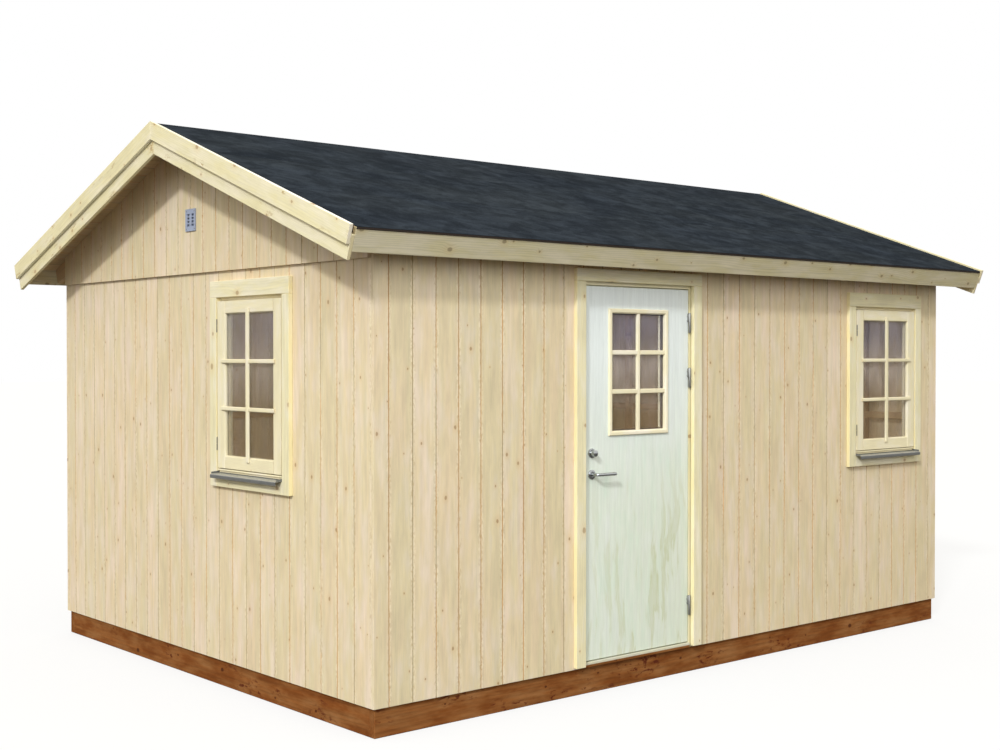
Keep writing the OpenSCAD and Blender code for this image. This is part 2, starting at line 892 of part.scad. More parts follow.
module door_glass() {
    color([0.45, 0.40, 0.40, 0.4]) light_block(0, leaf_y + tongue_d, leaf_in - tongue_d);
}

// Roses that carry the lever's shaft on both faces
module lever_roses() {
    color([0.72, 0.71, 0.68])
    difference() {
        union() {
            round_y(lever_x, lever_z, rose_r, leaf_y - rose_t, leaf_y);
            round_y(lever_x, lever_z, rose_r, leaf_in, leaf_in + rose_t);
        }
        round_y(lever_x, lever_z, shaft_r + run_clear, leaf_y - rose_t - cut, leaf_in + rose_t + cut);
    }
}

// Cylinder lock outside and a thumb turn inside
module door_lock() {
    color([0.72, 0.71, 0.68]) {
        round_y(lever_x, lock_z, rose_r, leaf_y - rose_t, leaf_y);
        round_y(lever_x, lock_z, lock_r, leaf_y - rose_t - lock_out, leaf_y - rose_t);
        round_y(lever_x, lock_z, rose_r, leaf_in, leaf_in + rose_t);
        block(
            [lever_x - turn_w / 2, leaf_in + rose_t, lock_z - lock_r],
            [lever_x + turn_w / 2, leaf_in + rose_t + turn_out, lock_z + lock_r]);
    }
}

// Bar of the lever at depth y, with rounded ends
module lever_bar(y) {
    translate([lever_x, y, lever_z]) {
        sphere(r = lever_r);
        rotate([0, 90, 0]) cylinder(r = lever_r, h = lever_l - lever_r);
        translate([lever_l - lever_r, 0, 0]) sphere(r = lever_r);
    }
}

// Outer and inner levers on one shaft
module door_lever() {
    color([0.72, 0.71, 0.68]) {
        round_y(lever_x, lever_z, shaft_r, leaf_y - lever_out, leaf_in + lever_out);
        lever_bar(leaf_y - lever_out);
        lever_bar(leaf_in + lever_out);
    }
}

// Lower halves of the hinges, with the pins
module hinge_frame_halves() {
    color([0.72, 0.71, 0.68])
    for (z = hinge_zs) translate([hinge_x, hinge_y, z]) {
        cylinder(r = knuckle_r, h = hinge_h / 2 - hinge_play);
        cylinder(r = hinge_pin_r, h = hinge_h - knuckle_r - pin_free);
        block([0, 0, 0], [stem_w, hinge_out, hinge_h / 2 - hinge_play]);
    }
}

// Upper halves of the hinges, bored for the pins
module hinge_leaf_halves() {
    color([0.72, 0.71, 0.68])
    for (z = hinge_zs) translate([hinge_x, hinge_y, z])
        difference() {
            union() {
                translate([0, 0, hinge_h / 2]) cylinder(r = knuckle_r, h = hinge_h / 2);
                block([-stem_w, 0, hinge_h / 2], [0, hinge_out, hinge_h]);
            }
            cylinder(r = hinge_pin_r + run_clear, h = hinge_h - knuckle_r);
        }
}

// Slotted plate over the hole in the gable panel
module gable_vent() {
    step_w = vent_slot_w + vent_column_gap;
    step_h = vent_slot_h + vent_slot_gap;
    first_y = (vent_column_gap - vent_columns * step_w) / 2;
    first_z = (vent_slot_gap - vent_rows * step_h) / 2;
    face = -half_l - gable_t;
    difference() {
        block([face - vent_t, -vent_w / 2, vent_z - vent_h / 2], [face, vent_w / 2, vent_z + vent_h / 2]);
        for (column = [0 : vent_columns - 1], row = [0 : vent_rows - 1])
            translate([
                face - vent_t - cut, first_y + column * step_w, vent_z + first_z + row * step_h])
                cube([vent_t + 2 * cut, vent_slot_w, vent_slot_h]);
    }
}

module gable_vents() {
    color([0.72, 0.76, 0.80]) {
        gable_vent();
        at_right() gable_vent();
    }
}

foundation_long_beams();
foundation_short_beams();
floor_joists();
floor_boards();
front_wall_left();
front_wall_right();
front_wall_over_door();
back_wall();
left_wall();
right_wall();
left_gable();
right_gable();
long_wall_studs();
short_wall_studs();
long_wall_plates();
short_wall_plates();
gable_studs();
ridge_beam();
front_rafters();
back_rafters();
eave_blocks();
front_roof_boards();
back_roof_boards();
front_roof_felt();
back_roof_felt();
front_fascia();
back_fascia();
front_lower_verge_boards();
back_lower_verge_boards();
front_upper_verge_boards();
back_upper_verge_boards();
left_window_casing();
left_window_frame();
left_window_sash();
left_window_pane();
left_window_sill();
front_window_casing();
front_window_frame();
front_window_sash();
front_window_pane();
front_window_sill();
door_frame();
door_threshold();
door_casing();
hinge_frame_halves();
door_leaf();
door_bead();
door_glass();
lever_roses();
door_lock();
hinge_leaf_halves();
door_lever();
gable_vents();
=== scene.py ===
import functools
import itertools
import json
import math
import random

import bmesh
import bpy
from bpy.props import FloatProperty, FloatVectorProperty, PointerProperty
from bpy.types import Operator, Panel, PropertyGroup
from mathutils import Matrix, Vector, geometry


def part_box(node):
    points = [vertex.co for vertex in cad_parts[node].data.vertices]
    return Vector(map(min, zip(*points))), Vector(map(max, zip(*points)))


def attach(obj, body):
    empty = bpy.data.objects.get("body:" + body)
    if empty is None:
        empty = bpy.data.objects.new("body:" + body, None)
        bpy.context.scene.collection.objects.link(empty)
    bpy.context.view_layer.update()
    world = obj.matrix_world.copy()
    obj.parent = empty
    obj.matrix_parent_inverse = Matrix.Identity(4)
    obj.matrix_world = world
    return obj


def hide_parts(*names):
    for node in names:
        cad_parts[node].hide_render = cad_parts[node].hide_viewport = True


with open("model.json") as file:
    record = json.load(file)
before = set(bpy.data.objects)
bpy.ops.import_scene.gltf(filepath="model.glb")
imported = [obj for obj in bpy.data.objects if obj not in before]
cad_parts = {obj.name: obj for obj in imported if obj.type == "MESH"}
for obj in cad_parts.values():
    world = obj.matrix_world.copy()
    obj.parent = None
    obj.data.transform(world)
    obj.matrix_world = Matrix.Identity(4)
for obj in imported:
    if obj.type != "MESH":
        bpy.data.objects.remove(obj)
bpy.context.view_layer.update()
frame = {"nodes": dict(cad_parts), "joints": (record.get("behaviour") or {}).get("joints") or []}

bl_info = {
    "name": "Wooden garden shed",
    "version": (1, 0, 0),
    "blender": (4, 5, 0),
    "location": "View3D > Sidebar > Shed",
    "description": "Dresses the frame of a timber garden shed with boards, felt, glass and fittings",
    "category": "Object",
}

X, Y, Z = Vector((1, 0, 0)), Vector((0, 1, 0)), Vector((0, 0, 1))
# Distance within which points are one, and angle within which neighbouring faces are one
WELD = 1e-6
FLAT = math.radians(0.5)
# Angle above which an edge is rounded off, and cosine above which a face looks along an axis
SHARP = 0.3
FACING = 0.9
# Play between pieces that meet, so that their faces don't coincide
HAIR = 0.0002

# Outer faces of the cladding and its thickness, taken from the frame
HALF_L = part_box("front_wall_right")[1].x
HALF_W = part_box("back_wall")[1].y
CLAD_T = HALF_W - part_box("left_wall")[1].y
finishes = {}


def length(name, value, about):
    return FloatProperty(name=name, description=about, default=value, min=0.0, unit="LENGTH", precision=4)


def tint(name, value, about):
    return FloatVectorProperty(
        name=name, description=about, default=value, size=3, min=0.0, max=1.0, subtype="COLOR")


def strength(name, value, about):
    return FloatProperty(name=name, description=about, default=value, min=0.0)


class ShedSizes(PropertyGroup):
    front_first: length("First front board", 0.090, "Width of the board at the left end of the long walls")
    front_board: length("Front board", 0.143, "Cover width of a board of the long walls")
    end_board: length("End board", 0.1444, "Cover width of a board of the gable walls")
    groove_gap: length("Groove gap", 0.0012, "Open width between two cladding boards")
    groove_chamfer: length("Groove chamfer", 0.0020, "Chamfer along the edges of a cladding board")
    groove_depth: length("Groove depth", 0.004, "Depth of the joint in front of the tongue")
    warp: length("Board warp", 0.0005, "How far a cladding board may stand behind its neighbours")
    roof_board: length("Roof board", 0.097, "Cover width of a roof board")
    floor_board: length("Floor board", 0.112, "Cover width of a floor board")
    arris: length("Arris", 0.002, "Rounding of the edges of sawn and planed timber")
    felt_sheet: length("Felt sheet", 0.70, "Visible width of a sheet of felt")
    felt_nail_gap: length("Felt nail spacing", 0.12, "Distance between the nails along a sheet's edge")
    pitch: FloatProperty(
        name="Roof pitch", description="Slope of the roof", default=math.radians(20), subtype="ANGLE")
    packing: length("Threshold packing", 0.013, "Height of the treated strip under the threshold")
    window_bar: length("Window bar", 0.030, "Width of a window's upright glazing bar")
    window_cross_bar: length("Window cross bar", 0.023, "Height of a window's level glazing bars")
    window_bar_lap: length("Window bar lap", 0.025, "Lap of the glazing bars over the sash")
    window_bar_t: length("Window bar thickness", 0.010, "Thickness of a window's glazing bars")
    door_bar: length("Door bar", 0.022, "Width of the upright bar of the door's light")
    door_cross_bar: length("Door cross bar", 0.025, "Height of the level bars of the door's light")


class ShedColours(PropertyGroup):
    cladding: tint("Cladding", (0.757, 0.633, 0.440), "Planed softwood of the wall boards")
    groove: tint("Groove", (0.60, 0.33, 0.135), "Sap-stained sides of the joints between wall boards")
    trim: tint("Trim", (0.825, 0.755, 0.52), "Planed softwood of casings, fascias and verge boards")
    joinery: tint("Joinery", (0.845, 0.765, 0.545), "Planed softwood of the window frames and sashes")
    inner: tint("Inner timber", (0.62, 0.45, 0.26), "Sawn softwood of frames, rafters and roof boards")
    treated: tint("Treated timber", (0.275, 0.108, 0.032), "Brown impregnated beams")
    knot: tint("Knot", (0.36, 0.21, 0.10), "Heart of a knot in pale timber")
    door: tint("Door leaf", (0.775, 0.83, 0.73), "Primed face of the door leaf")
    door_figure: tint("Door figure", (0.555, 0.575, 0.33), "Veneer figure that shows through the primer")
    felt: tint("Felt", (0.0262, 0.0322, 0.0400), "Mineral surface of the roof felt")
    felt_edge: tint("Felt edge", (0.030, 0.018, 0.012), "Bitumen edge of the roof felt")
    # The panes' tint is the base of their painted reflection
    glass: tint("Glass", (0.39, 0.335, 0.335), "Tint of the panes")
    sill: tint("Sill", (0.17, 0.178, 0.18), "Coated sheet of the window sills")
    steel: tint("Steel", (0.50, 0.51, 0.51), "Satin steel of lever, lock and hinges")
    vent: tint("Vent", (0.35, 0.40, 0.54), "Moulded plastic of the gable vents")


class ShedStage(PropertyGroup):
    sun: strength("Sun", 1.74, "Strength of the key light")
    sky: strength("Sky", 1.03, "Strength of the even light from all round")
    fill: strength("Fill", 120.0, "Strength of the broad light near the door side")
    room: strength("Room", 34.0, "Strength of the soft light inside the room")
    floor: tint("Floor", (0.80, 0.80, 0.80), "Floor under the shed")


def sizes():
    return bpy.context.scene.shed_sizes


def colours():
    return bpy.context.scene.shed_colours


# Meshes

# Where a board's heart lies from its middle, aside and behind, and how long a log its grain is cut from
PITH_ASIDE = 0.07
PITH_BEHIND = (0.01, 0.06)
LOG_LENGTH = 40.0


def prism_faces(n):
    """Faces of a prism with n sides whose points are listed end by end: two ends, then the sides."""
    ends = [list(range(n)), list(range(2 * n - 1, n - 1, -1))]
    return ends + [(i, (i + 1) % n, n + (i + 1) % n, n + i) for i in range(n)]


class Maker:
    """Gathers solids into one mesh. Each solid keeps its own grain space and tone for the materials."""

    def __init__(self, seed):
        self.dice = random.Random(seed)
        self.verts, self.faces, self.slots, self.smooth = [], [], [], []
        self.grain, self.tone, self.ends, self.side = [], [], [], []

    def key(self):
        """Tone and grain offset of one board, drawn once for all solids of that board."""
        draw = self.dice.uniform
        shift = Vector((draw(-PITH_ASIDE, PITH_ASIDE), draw(*PITH_BEHIND), draw(0.0, LOG_LENGTH)))
        return self.dice.random(), shift

    def add(self, verts, faces, along, face, key=None, slots=0, smooth=False, origin=None, sides=None):
        along, face = along.normalized(), face.normalized()
        across = along.cross(face)
        tone, shift = key or self.key()
        verts = [Vector(v) for v in verts]
        if origin is None:
            origin = sum(verts, Vector()) / len(verts)
        base = len(self.verts)
        for v in verts:
            r = v - origin
            self.verts.append(v)
            self.grain.append(Vector((r.dot(across), r.dot(face), r.dot(along))) + shift)
            self.tone.append(tone)
        self.side += sides or [0.0] * len(verts)
        for i, f in enumerate(faces):
            self.faces.append([base + k for k in f])
            self.slots.append(slots if isinstance(slots, int) else slots[i])
            self.smooth.append(smooth)
            normal = geometry.normal([verts[k] for k in f])
            self.ends.append(1.0 if abs(normal.dot(along)) > FACING else 0.0)

    def solid(self, verts, faces, along=None, face=None, arris=0.0, segments=1, sided=False, **more):
        """A closed solid with its edges rounded off. The grain follows its longest edge unless it is given.

        A sided solid has its narrow sides and ends in the second look.
        """
        bm = bmesh.new()
        made = [bm.verts.new(v) for v in verts]
        for f in faces:
            bm.faces.new([made[k] for k in f])
        bmesh.ops.recalc_face_normals(bm, faces=bm.faces)
        if along is None:
            longest = max(bm.edges, key=lambda e: e.calc_length())
            along = (longest.verts[1].co - longest.verts[0].co).normalized()
        if face is None:
            sides = [f for f in bm.faces if abs(f.normal.dot(along)) < 0.5]
            face = max(sides, key=lambda f: f.calc_area()).normal.copy()
            face = (face - along * face.dot(along)).normalized()
        if arris:
            sharp = [e for e in bm.edges if e.is_manifold and e.calc_face_angle() > SHARP]
            bmesh.ops.bevel(
                bm, geom=sharp, offset=arris, offset_type="OFFSET", segments=segments, profile=0.5,
                affect="EDGES", clamp_overlap=True)
        bm.verts.index_update()
        if sided:
            more["slots"] = [0 if abs(f.normal.dot(face)) > FACING else 1 for f in bm.faces]
        points = [v.co.copy() for v in bm.verts]
        self.add(points, [[v.index for v in f.verts] for f in bm.faces], along, face, **more)
        bm.free()

    def box(self, low, high, place=None, along=Z, face=Y, arris=0.0, **more):
        """A block between two corners, in the space that place maps to the row frame."""
        place = place or Vector
        corners = [place(Vector(corner)) for corner in itertools.product(*zip(low, high))]
        turn = lambda v: (place(v) - place(Vector())).normalized()
        faces = [(0, 1, 3, 2), (4, 6, 7, 5), (0, 4, 5, 1), (2, 3, 7, 6), (0, 2, 6, 4), (1, 5, 7, 3)]
        self.solid(corners, faces, turn(along), turn(face), arris, **more)

    def prism(self, outline, low, high, place, arris=0.0, along=None, face=None, **more):
        """An outline drawn out from low to high; place(a, b, t) is its point (a, b) at t."""
        verts = [place(a, b, t) for t in (low, high) for a, b in outline]
        self.solid(verts, prism_faces(len(outline)), along, face, arris, **more)

    def lathe(self, profile, origin, axis, steps, **more):
        """A turned solid: profile lists (distance along the axis, radius), and ends close at radius 0."""
        axis = axis.normalized()
        side = axis.orthogonal().normalized()
        other = axis.cross(side)
        verts, faces, rings = [], [], []
        for t, r in profile:
            if r <= 0.0:
                rings.append([len(verts)])
                verts.append(origin + axis * t)
                continue
            rings.append(list(range(len(verts), len(verts) + steps)))
            for k in range(steps):
                a = 2 * math.pi * k / steps
                verts.append(origin + axis * t + (side * math.cos(a) + other * math.sin(a)) * r)
        for p, q in zip(rings, rings[1:]):
            for k in range(steps):
                m = (k + 1) % steps
                if len(p) == 1:
                    faces.append((p[0], q[k], q[m]))
                elif len(q) == 1:
                    faces.append((p[k], q[0], p[m]))
                else:
                    faces.append((p[k], q[k], q[m], p[m]))
        self.add(verts, faces, axis, side, smooth=True, origin=origin, **more)

    def tube(self, path, radii, steps, **more):
        """A round bar swept along a path of points, with a radius at each."""
        verts, faces = [], []
        for i, p in enumerate(path):
            ahead = path[min(i + 1, len(path) - 1)] - path[max(i - 1, 0)]
            side = ahead.cross(Z).normalized()
            over = side.cross(ahead).normalized()
            for k in range(steps):
                a = 2 * math.pi * k / steps
                verts.append(p + (side * math.cos(a) + over * math.sin(a)) * radii[i])
        for i in range(len(path) - 1):
            for k in range(steps):
                m = (k + 1) % steps
                faces.append((i * steps + k, i * steps + m, (i + 1) * steps + m, (i + 1) * steps + k))
        faces.append(list(range(steps)))
        faces.append(list(range(len(verts) - 1, len(verts) - steps - 1, -1)))
        self.add(verts, faces, path[-1] - path[-2], Z, smooth=True, origin=path[0], **more)

    def piece(self, name, body, slot, looks, *nodes):
        """Makes the object, and has it ride on a body and stand for CAD nodes."""
        mesh = bpy.data.meshes.new(name)
        mesh.from_pydata(self.verts, [], self.faces)
        for look in looks:
            mesh.materials.append(finishes[look])
        mesh.polygons.foreach_set("material_index", self.slots)
        mesh.polygons.foreach_set("use_smooth", self.smooth)
        bm = bmesh.new()
        bm.from_mesh(mesh)
        bmesh.ops.recalc_face_normals(bm, faces=bm.faces)
        bm.to_mesh(mesh)
        bm.free()
        if any(self.smooth):
            mesh.set_sharp_from_angle(angle=math.radians(40))
        for label, kind, domain, field, values in (
                ("grain", "FLOAT_VECTOR", "POINT", "vector", [c for g in self.grain for c in g]),
                ("board", "FLOAT", "POINT", "value", self.tone),
                ("edge", "FLOAT", "POINT", "value", self.side),
                ("end_grain", "FLOAT", "FACE", "value", self.ends)):
            mesh.attributes.new(label, kind, domain).data.foreach_set(field, values)
        obj = bpy.data.objects.new(name, mesh)
        bpy.context.scene.collection.objects.link(obj)
        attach(obj, body)
        if nodes:
            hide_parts(*nodes)
        return obj


def solids(node):
    """The separate solids of a CAD node, each as points and flat faces."""
    bm = bmesh.new()
    bm.from_mesh(frame["nodes"][node].data)
    bmesh.ops.remove_doubles(bm, verts=bm.verts, dist=WELD)
    bmesh.ops.dissolve_limit(bm, angle_limit=FLAT, verts=bm.verts, edges=bm.edges)
    found, seen = [], set()
    for start in bm.verts:
        if start in seen:
            continue
        island, todo = [], [start]
        seen.add(start)
        while todo:
            v = todo.pop()
            island.append(v)
            for e in v.link_edges:
                w = e.other_vert(v)
                if w not in seen:
                    seen.add(w)
                    todo.append(w)
        at = {v: i for i, v in enumerate(island)}
        faces = sorted({f for v in island for f in v.link_faces}, key=lambda f: f.index)
        found.append(([v.co.copy() for v in island], [[at[v] for v in f.verts] for f in faces]))
    bm.free()
    return found


def dress(node, slot, look, arris=None, segments=1, edge=None):
    """A CAD node as timber: each solid a board with rounded edges, whose narrow sides and ends may take a
    second look, which the trim uses for a painted highlight.
    """
    arris = sizes().arris if arris is None else arris
    maker = Maker(node)
    for verts, faces in solids(node):
        maker.solid(verts, faces, arris=arris, segments=segments, sided=edge is not None)
    return maker.piece(node + "_timber", "shed", slot, [look, edge] if edge else [look], node)


# Materials


class Nodes:
    """Places and links the nodes of one tree."""

    def __init__(self, tree):
        self.tree = tree

    def put(self, kind, values=None, **settings):
        node = self.tree.nodes.new(kind)
        for name, value in settings.items():
            setattr(node, name, value)
        for socket, value in (values or {}).items():
            self.feed(node.inputs[socket], value)
        return node

    def feed(self, socket, value):
        """Links another socket to this one, or sets its value. A colour may come without its alpha."""
        if isinstance(value, bpy.types.NodeSocket):
            self.tree.links.new(value, socket)
        elif socket.type == "RGBA" and len(value) == 3:
            socket.default_value = (*value, 1.0)
        else:
            socket.default_value = value

    def math(self, operation, a, b=0.0, c=0.0):
        return self.put("ShaderNodeMath", {0: a, 1: b, 2: c}, operation=operation).outputs[0]

    def total(self, *values):
        return functools.reduce(lambda a, b: self.math("ADD", a, b), values)

    def product(self, *values):
        return functools.reduce(lambda a, b: self.math("MULTIPLY", a, b), values)

    def swing(self, value, amount, base=0.0):
        """base + amount * (value - 0.5)"""
        return self.math("MULTIPLY_ADD", value, amount, base - amount / 2)

    def span(self, value, low, high, to_low=0.0, to_high=1.0):
        """Smooth step of a value from one range to another."""
        ranges = {"Value": value, "From Min": low, "From Max": high, "To Min": to_low, "To Max": to_high}
        return self.put("ShaderNodeMapRange", ranges, interpolation_type="SMOOTHSTEP").outputs["Result"]

    def vector(self, operation, a, b=(0.0, 0.0, 0.0)):
        node = self.put("ShaderNodeVectorMath", {0: a}, operation=operation)
        self.feed(node.inputs["Scale" if operation == "SCALE" else 1], b)
        return node.outputs["Value" if operation == "LENGTH" else "Vector"]

    def split(self, vector):
        return self.put("ShaderNodeSeparateXYZ", {0: vector}).outputs

    def join(self, x, y, z=0.0):
        return self.put("ShaderNodeCombineXYZ", {0: x, 1: y, 2: z}).outputs[0]

    def noise(self, vector, scale=1.0, detail=2.0, rough=0.5, distort=0.0):
        """Noise at one scale, or stretched by a scale for each axis."""
        if isinstance(scale, tuple):
            vector, scale = self.vector("MULTIPLY", vector, scale), 1.0
        return self.put("ShaderNodeTexNoise", {
            "Vector": vector, "Scale": scale, "Detail": detail, "Roughness": rough,
            "Distortion": distort}).outputs["Fac"]

    def mix(self, share, a, b):
        return self.put("ShaderNodeMix", {0: share, 6: a, 7: b}, data_type="RGBA").outputs[2]

    def ramp(self, share, stops):
        node = self.put("ShaderNodeValToRGB", {"Fac": share})
        row = node.color_ramp.elements
        while len(row) < len(stops):
            row.new(0.5)
        for element, (at, colour) in zip(row, stops):
            element.position = at
            element.color = (*colour, 1.0)
        return node.outputs["Color"]

    def attribute(self, name, output):
        return self.put("ShaderNodeAttribute", attribute_name=name).outputs[output]

    def group(self, tree, **values):
        node = self.put("ShaderNodeGroup", node_tree=tree)
        for name, value in values.items():
            self.feed(node.inputs[name.replace("_", " ")], value)
        return node.outputs

    def bump(self, shade, height, strength, distance):
        node = self.put("ShaderNodeBump", {"Height": height, "Strength": strength, "Distance": distance})
        self.feed(shade["Normal"], node.outputs[0])


def shader_group(name, inputs, outputs):
    """An empty node group with its sockets. Returns the tree, its nodes and its two ends."""
    tree = bpy.data.node_groups.new(name, "ShaderNodeTree")
    for label, kind, value in inputs:
        socket = tree.interface.new_socket(name=label, in_out="INPUT", socket_type="NodeSocket" + kind)
        if value is not None:
            socket.default_value = value
    for label in outputs:
        tree.interface.new_socket(name=label, in_out="OUTPUT", socket_type="NodeSocketFloat")
    n = Nodes(tree)
    return tree, n, n.put("NodeGroupInput").outputs, n.put("NodeGroupOutput").inputs


def plank_figure():
    """Grain of a board: streaks, fibres, rings, slow drifts of hue, and knots that the rings run round."""
    tree, n, source, result = shader_group(
        "plank figure",
        [("Grain", "Vector", None), ("Knot Size", "Float", 0.011), ("Knot Share", "Float", 0.3),
         ("Knot Gap", "Float", 0.36), ("Ring Width", "Float", 0.007)],
        ["Streak", "Fibre", "Ring", "Drift", "Knot", "Halo"])
    grain = source["Grain"]
    across, depth, along = n.split(grain)
    n.feed(result["Streak"], n.noise(grain, (48.0, 48.0, 3.4), detail=5.0, rough=0.66))
    n.feed(result["Fibre"], n.noise(grain, (620.0, 620.0, 12.0)))
    n.feed(result["Drift"], n.noise(grain, (15.0, 15.0, 4.2), detail=3.0, rough=0.6))
    # Knots: one place in each cell of the board's face, most of them left out
    cell_width, squeeze, ragged = 0.13, 0.72, 0.004
    cell = n.join(cell_width, source["Knot Gap"], 1.0)
    flat = n.join(across, along)
    at = n.vector("DIVIDE", flat, cell)
    spots = n.put("ShaderNodeTexVoronoi", {"Vector": at, "Scale": 1.0}, voronoi_dimensions="2D").outputs
    away = n.vector("SUBTRACT", spots["Position"], at)
    away = n.vector("MULTIPLY", away, n.vector("MULTIPLY", cell, (1.0, squeeze, 0.0)))
    away = n.total(n.vector("LENGTH", away), n.swing(n.noise(n.vector("SCALE", flat, 90.0)), ragged))
    draw = n.put("ShaderNodeSeparateColor", {0: spots["Color"]}).outputs
    there = n.math("LESS_THAN", draw[0], source["Knot Share"])
    radius = n.product(source["Knot Size"], n.math("MULTIPLY_ADD", draw[1], 0.95, 0.3))
    knot = n.span(away, n.product(radius, 1.25), n.product(radius, 0.75))
    n.feed(result["Knot"], n.product(knot, there))
    halo = n.product(n.span(away, n.product(radius, 4.5), 0.0), there)
    n.feed(result["Halo"], halo)
    # Rings: distance from the pith, pushed about slowly along the board and around knots
    wander = n.swing(n.noise(grain, (3.0, 3.0, 0.9)), 0.10)
    pushed = n.total(across, wander, n.product(halo, 0.016))
    reach = n.vector("LENGTH", n.join(pushed, depth))
    wave = n.math("SINE", n.product(n.math("DIVIDE", reach, source["Ring Width"]), 2 * math.pi))
    n.feed(result["Ring"], n.math("POWER", n.math("MULTIPLY_ADD", wave, 0.5, 0.5), 3.0))
    return tree


def fine_speck():
    """Small grain of cast, coated or mineral surfaces: specks of brightness and height."""
    tree, n, source, result = shader_group(
        "fine speck", [("Grain", "Vector", None), ("Size", "Float", 0.002)], ["Speck", "Blotch"])
    place = n.vector("SCALE", source["Grain"], n.math("DIVIDE", 1.0, source["Size"]))
    n.feed(result["Speck"], n.noise(place, detail=3.0, rough=0.65))
    n.feed(result["Blotch"], n.noise(place, 0.03, detail=4.0, rough=0.6))
    return tree


def new_finish(name):
    look = bpy.data.materials.new(name)
    look.use_nodes = True
    look.node_tree.nodes.clear()
    n = Nodes(look.node_tree)
    shade = n.put("ShaderNodeBsdfPrincipled")
    n.feed(n.put("ShaderNodeOutputMaterial").inputs["Surface"], shade.outputs[0])
    finishes[name] = look
    return n, shade.inputs


def times(colour, factors):
    return tuple(min(1.0, c * f) for c, f in zip(colour, factors))


# Places along the drift of a timber's hue, and the factors of its base colour there
HUE_STOPS = (0.12, 0.40, 0.62, 0.90)
PALE_HUES = ((0.98, 0.965, 0.92), (1.01, 1.0, 0.94), (1.0, 1.0, 1.03), (1.02, 1.02, 1.13))
TREATED_HUES = ((0.82, 0.64, 0.48), (0.96, 0.90, 0.84), (1.02, 1.06, 1.12), (1.12, 1.30, 1.60))
# Factors of the base colour round a knot, on end grain and where grain is torn
KNOT_HALO = (0.90, 0.72, 0.50)
END_GRAIN = (0.62, 0.52, 0.42)
TORN_PALE = (1.14, 1.18, 1.24)
TORN_DARK = (0.74, 0.62, 0.44)


def rosy_drift(n, colour, grain, board, blush):
    """Slow changes between a greenish and a rosy cast."""
    share = n.total(n.noise(grain, (11.0, 11.0, 1.1)), n.swing(board, 0.1))
    green = (1.0 - blush, 1.0, 1.0 - blush)
    rosy = (1.0 + blush, 1.0 - 0.3 * blush, 1.0 + 0.4 * blush)
    return n.vector("MULTIPLY", colour, n.ramp(share, [(0.36, green), (0.64, rosy)]))


def torn_edges(n, colour, grain, base, fleck):
    """Pale and dark flecks of torn grain along a board's edges."""
    edge = n.span(n.math("ABSOLUTE", n.attribute("edge", "Fac")), 0.55, 0.95)
    torn = n.noise(grain, (130.0, 130.0, 48.0), detail=3.0, rough=0.6)
    patch = n.span(n.noise(grain, (12.0, 12.0, 3.0)), 0.40, 0.60, 0.15, 1.0)
    pale = n.span(n.math("MULTIPLY_ADD", edge, 0.20, torn), 0.62, 0.74)
    pale = n.product(pale, n.product(edge, patch))
    colour = n.mix(n.product(pale, fleck), colour, times(base, TORN_PALE))
    dark = n.product(n.span(n.math("MULTIPLY_ADD", edge, -0.16, torn), 0.33, 0.22), edge)
    return n.mix(n.product(dark, 0.55 * fleck), colour, times(base, TORN_DARK))


def knot_clusters(n, colour, grain, burl, rare):
    """Patches of small dark knots."""
    patch = n.span(n.noise(grain, (9.0, 9.0, 3.2)), 0.53 + rare, 0.66 + rare)
    spots = n.noise(grain, (52.0, 52.0, 22.0), detail=4.0, rough=0.6, distort=0.4)
    return n.mix(n.product(patch, n.span(spots, 0.52, 0.63)), colour, burl)


def wood(name, base, figure, streak=0.10, fibre=0.05, ring=0.07, ring_width=0.007, tone=0.08, drift=1.0,
         mottle=0.06, knot_size=0.011, knot_share=0.3, knot_gap=0.36, knot=None, knot_depth=0.7, fleck=0.0,
         blush=0.0, burl=None, burl_rare=0.0, other=None, hues=PALE_HUES, rough=0.62, gloss=0.3, bump=0.25,
         end=0.45):
    """Planed or sawn timber from a base colour, lit by the board's own figure.

    hues are the base's factors along the drift, other a second colour that some boards take, fleck the torn
    grain along a board's edges, and burl the colour of clusters of small knots, which burl_rare thins out.
    """
    n, shade = new_finish(name)
    base = tuple(base)
    board = n.attribute("board", "Fac")
    grain = n.attribute("grain", "Vector")
    f = n.group(
        figure, Grain=grain, Knot_Size=knot_size, Knot_Share=knot_share, Knot_Gap=knot_gap,
        Ring_Width=ring_width)
    hue = n.total(n.swing(f["Drift"], 2.2 * drift, 0.5), n.swing(board, 0.3 * drift))
    colour = n.ramp(hue, [(at, times(base, factors)) for at, factors in zip(HUE_STOPS, hues)])
    if other:
        share = n.total(board, n.swing(f["Drift"], 1.6))
        colour = n.mix(n.span(share, 0.35, 0.65), colour, other)
    if blush:
        colour = rosy_drift(n, colour, grain, board, blush)
    light = n.total(
        n.swing(f["Streak"], 2 * streak, 1.0), n.swing(f["Fibre"], 2 * fibre), n.product(f["Ring"], -ring),
        n.total(n.swing(board, 2 * tone), n.swing(f["Drift"], 2 * mottle)))
    colour = n.vector("SCALE", colour, light)
    if fleck:
        colour = torn_edges(n, colour, grain, base, fleck)
    if burl:
        colour = knot_clusters(n, colour, grain, burl, burl_rare)
    colour = n.mix(n.product(f["Halo"], 0.35), colour, times(base, KNOT_HALO))
    colour = n.mix(n.product(f["Knot"], knot_depth), colour, tuple(knot or colours().knot))
    colour = n.mix(n.product(n.attribute("end_grain", "Fac"), end), colour, times(base, END_GRAIN))
    n.feed(shade["Base Color"], colour)
    n.feed(shade["Roughness"], n.swing(f["Streak"], 0.25, rough))
    shade["Specular IOR Level"].default_value = gloss
    n.bump(shade, n.total(f["Fibre"], n.product(f["Ring"], 0.6)), bump, 0.0006)


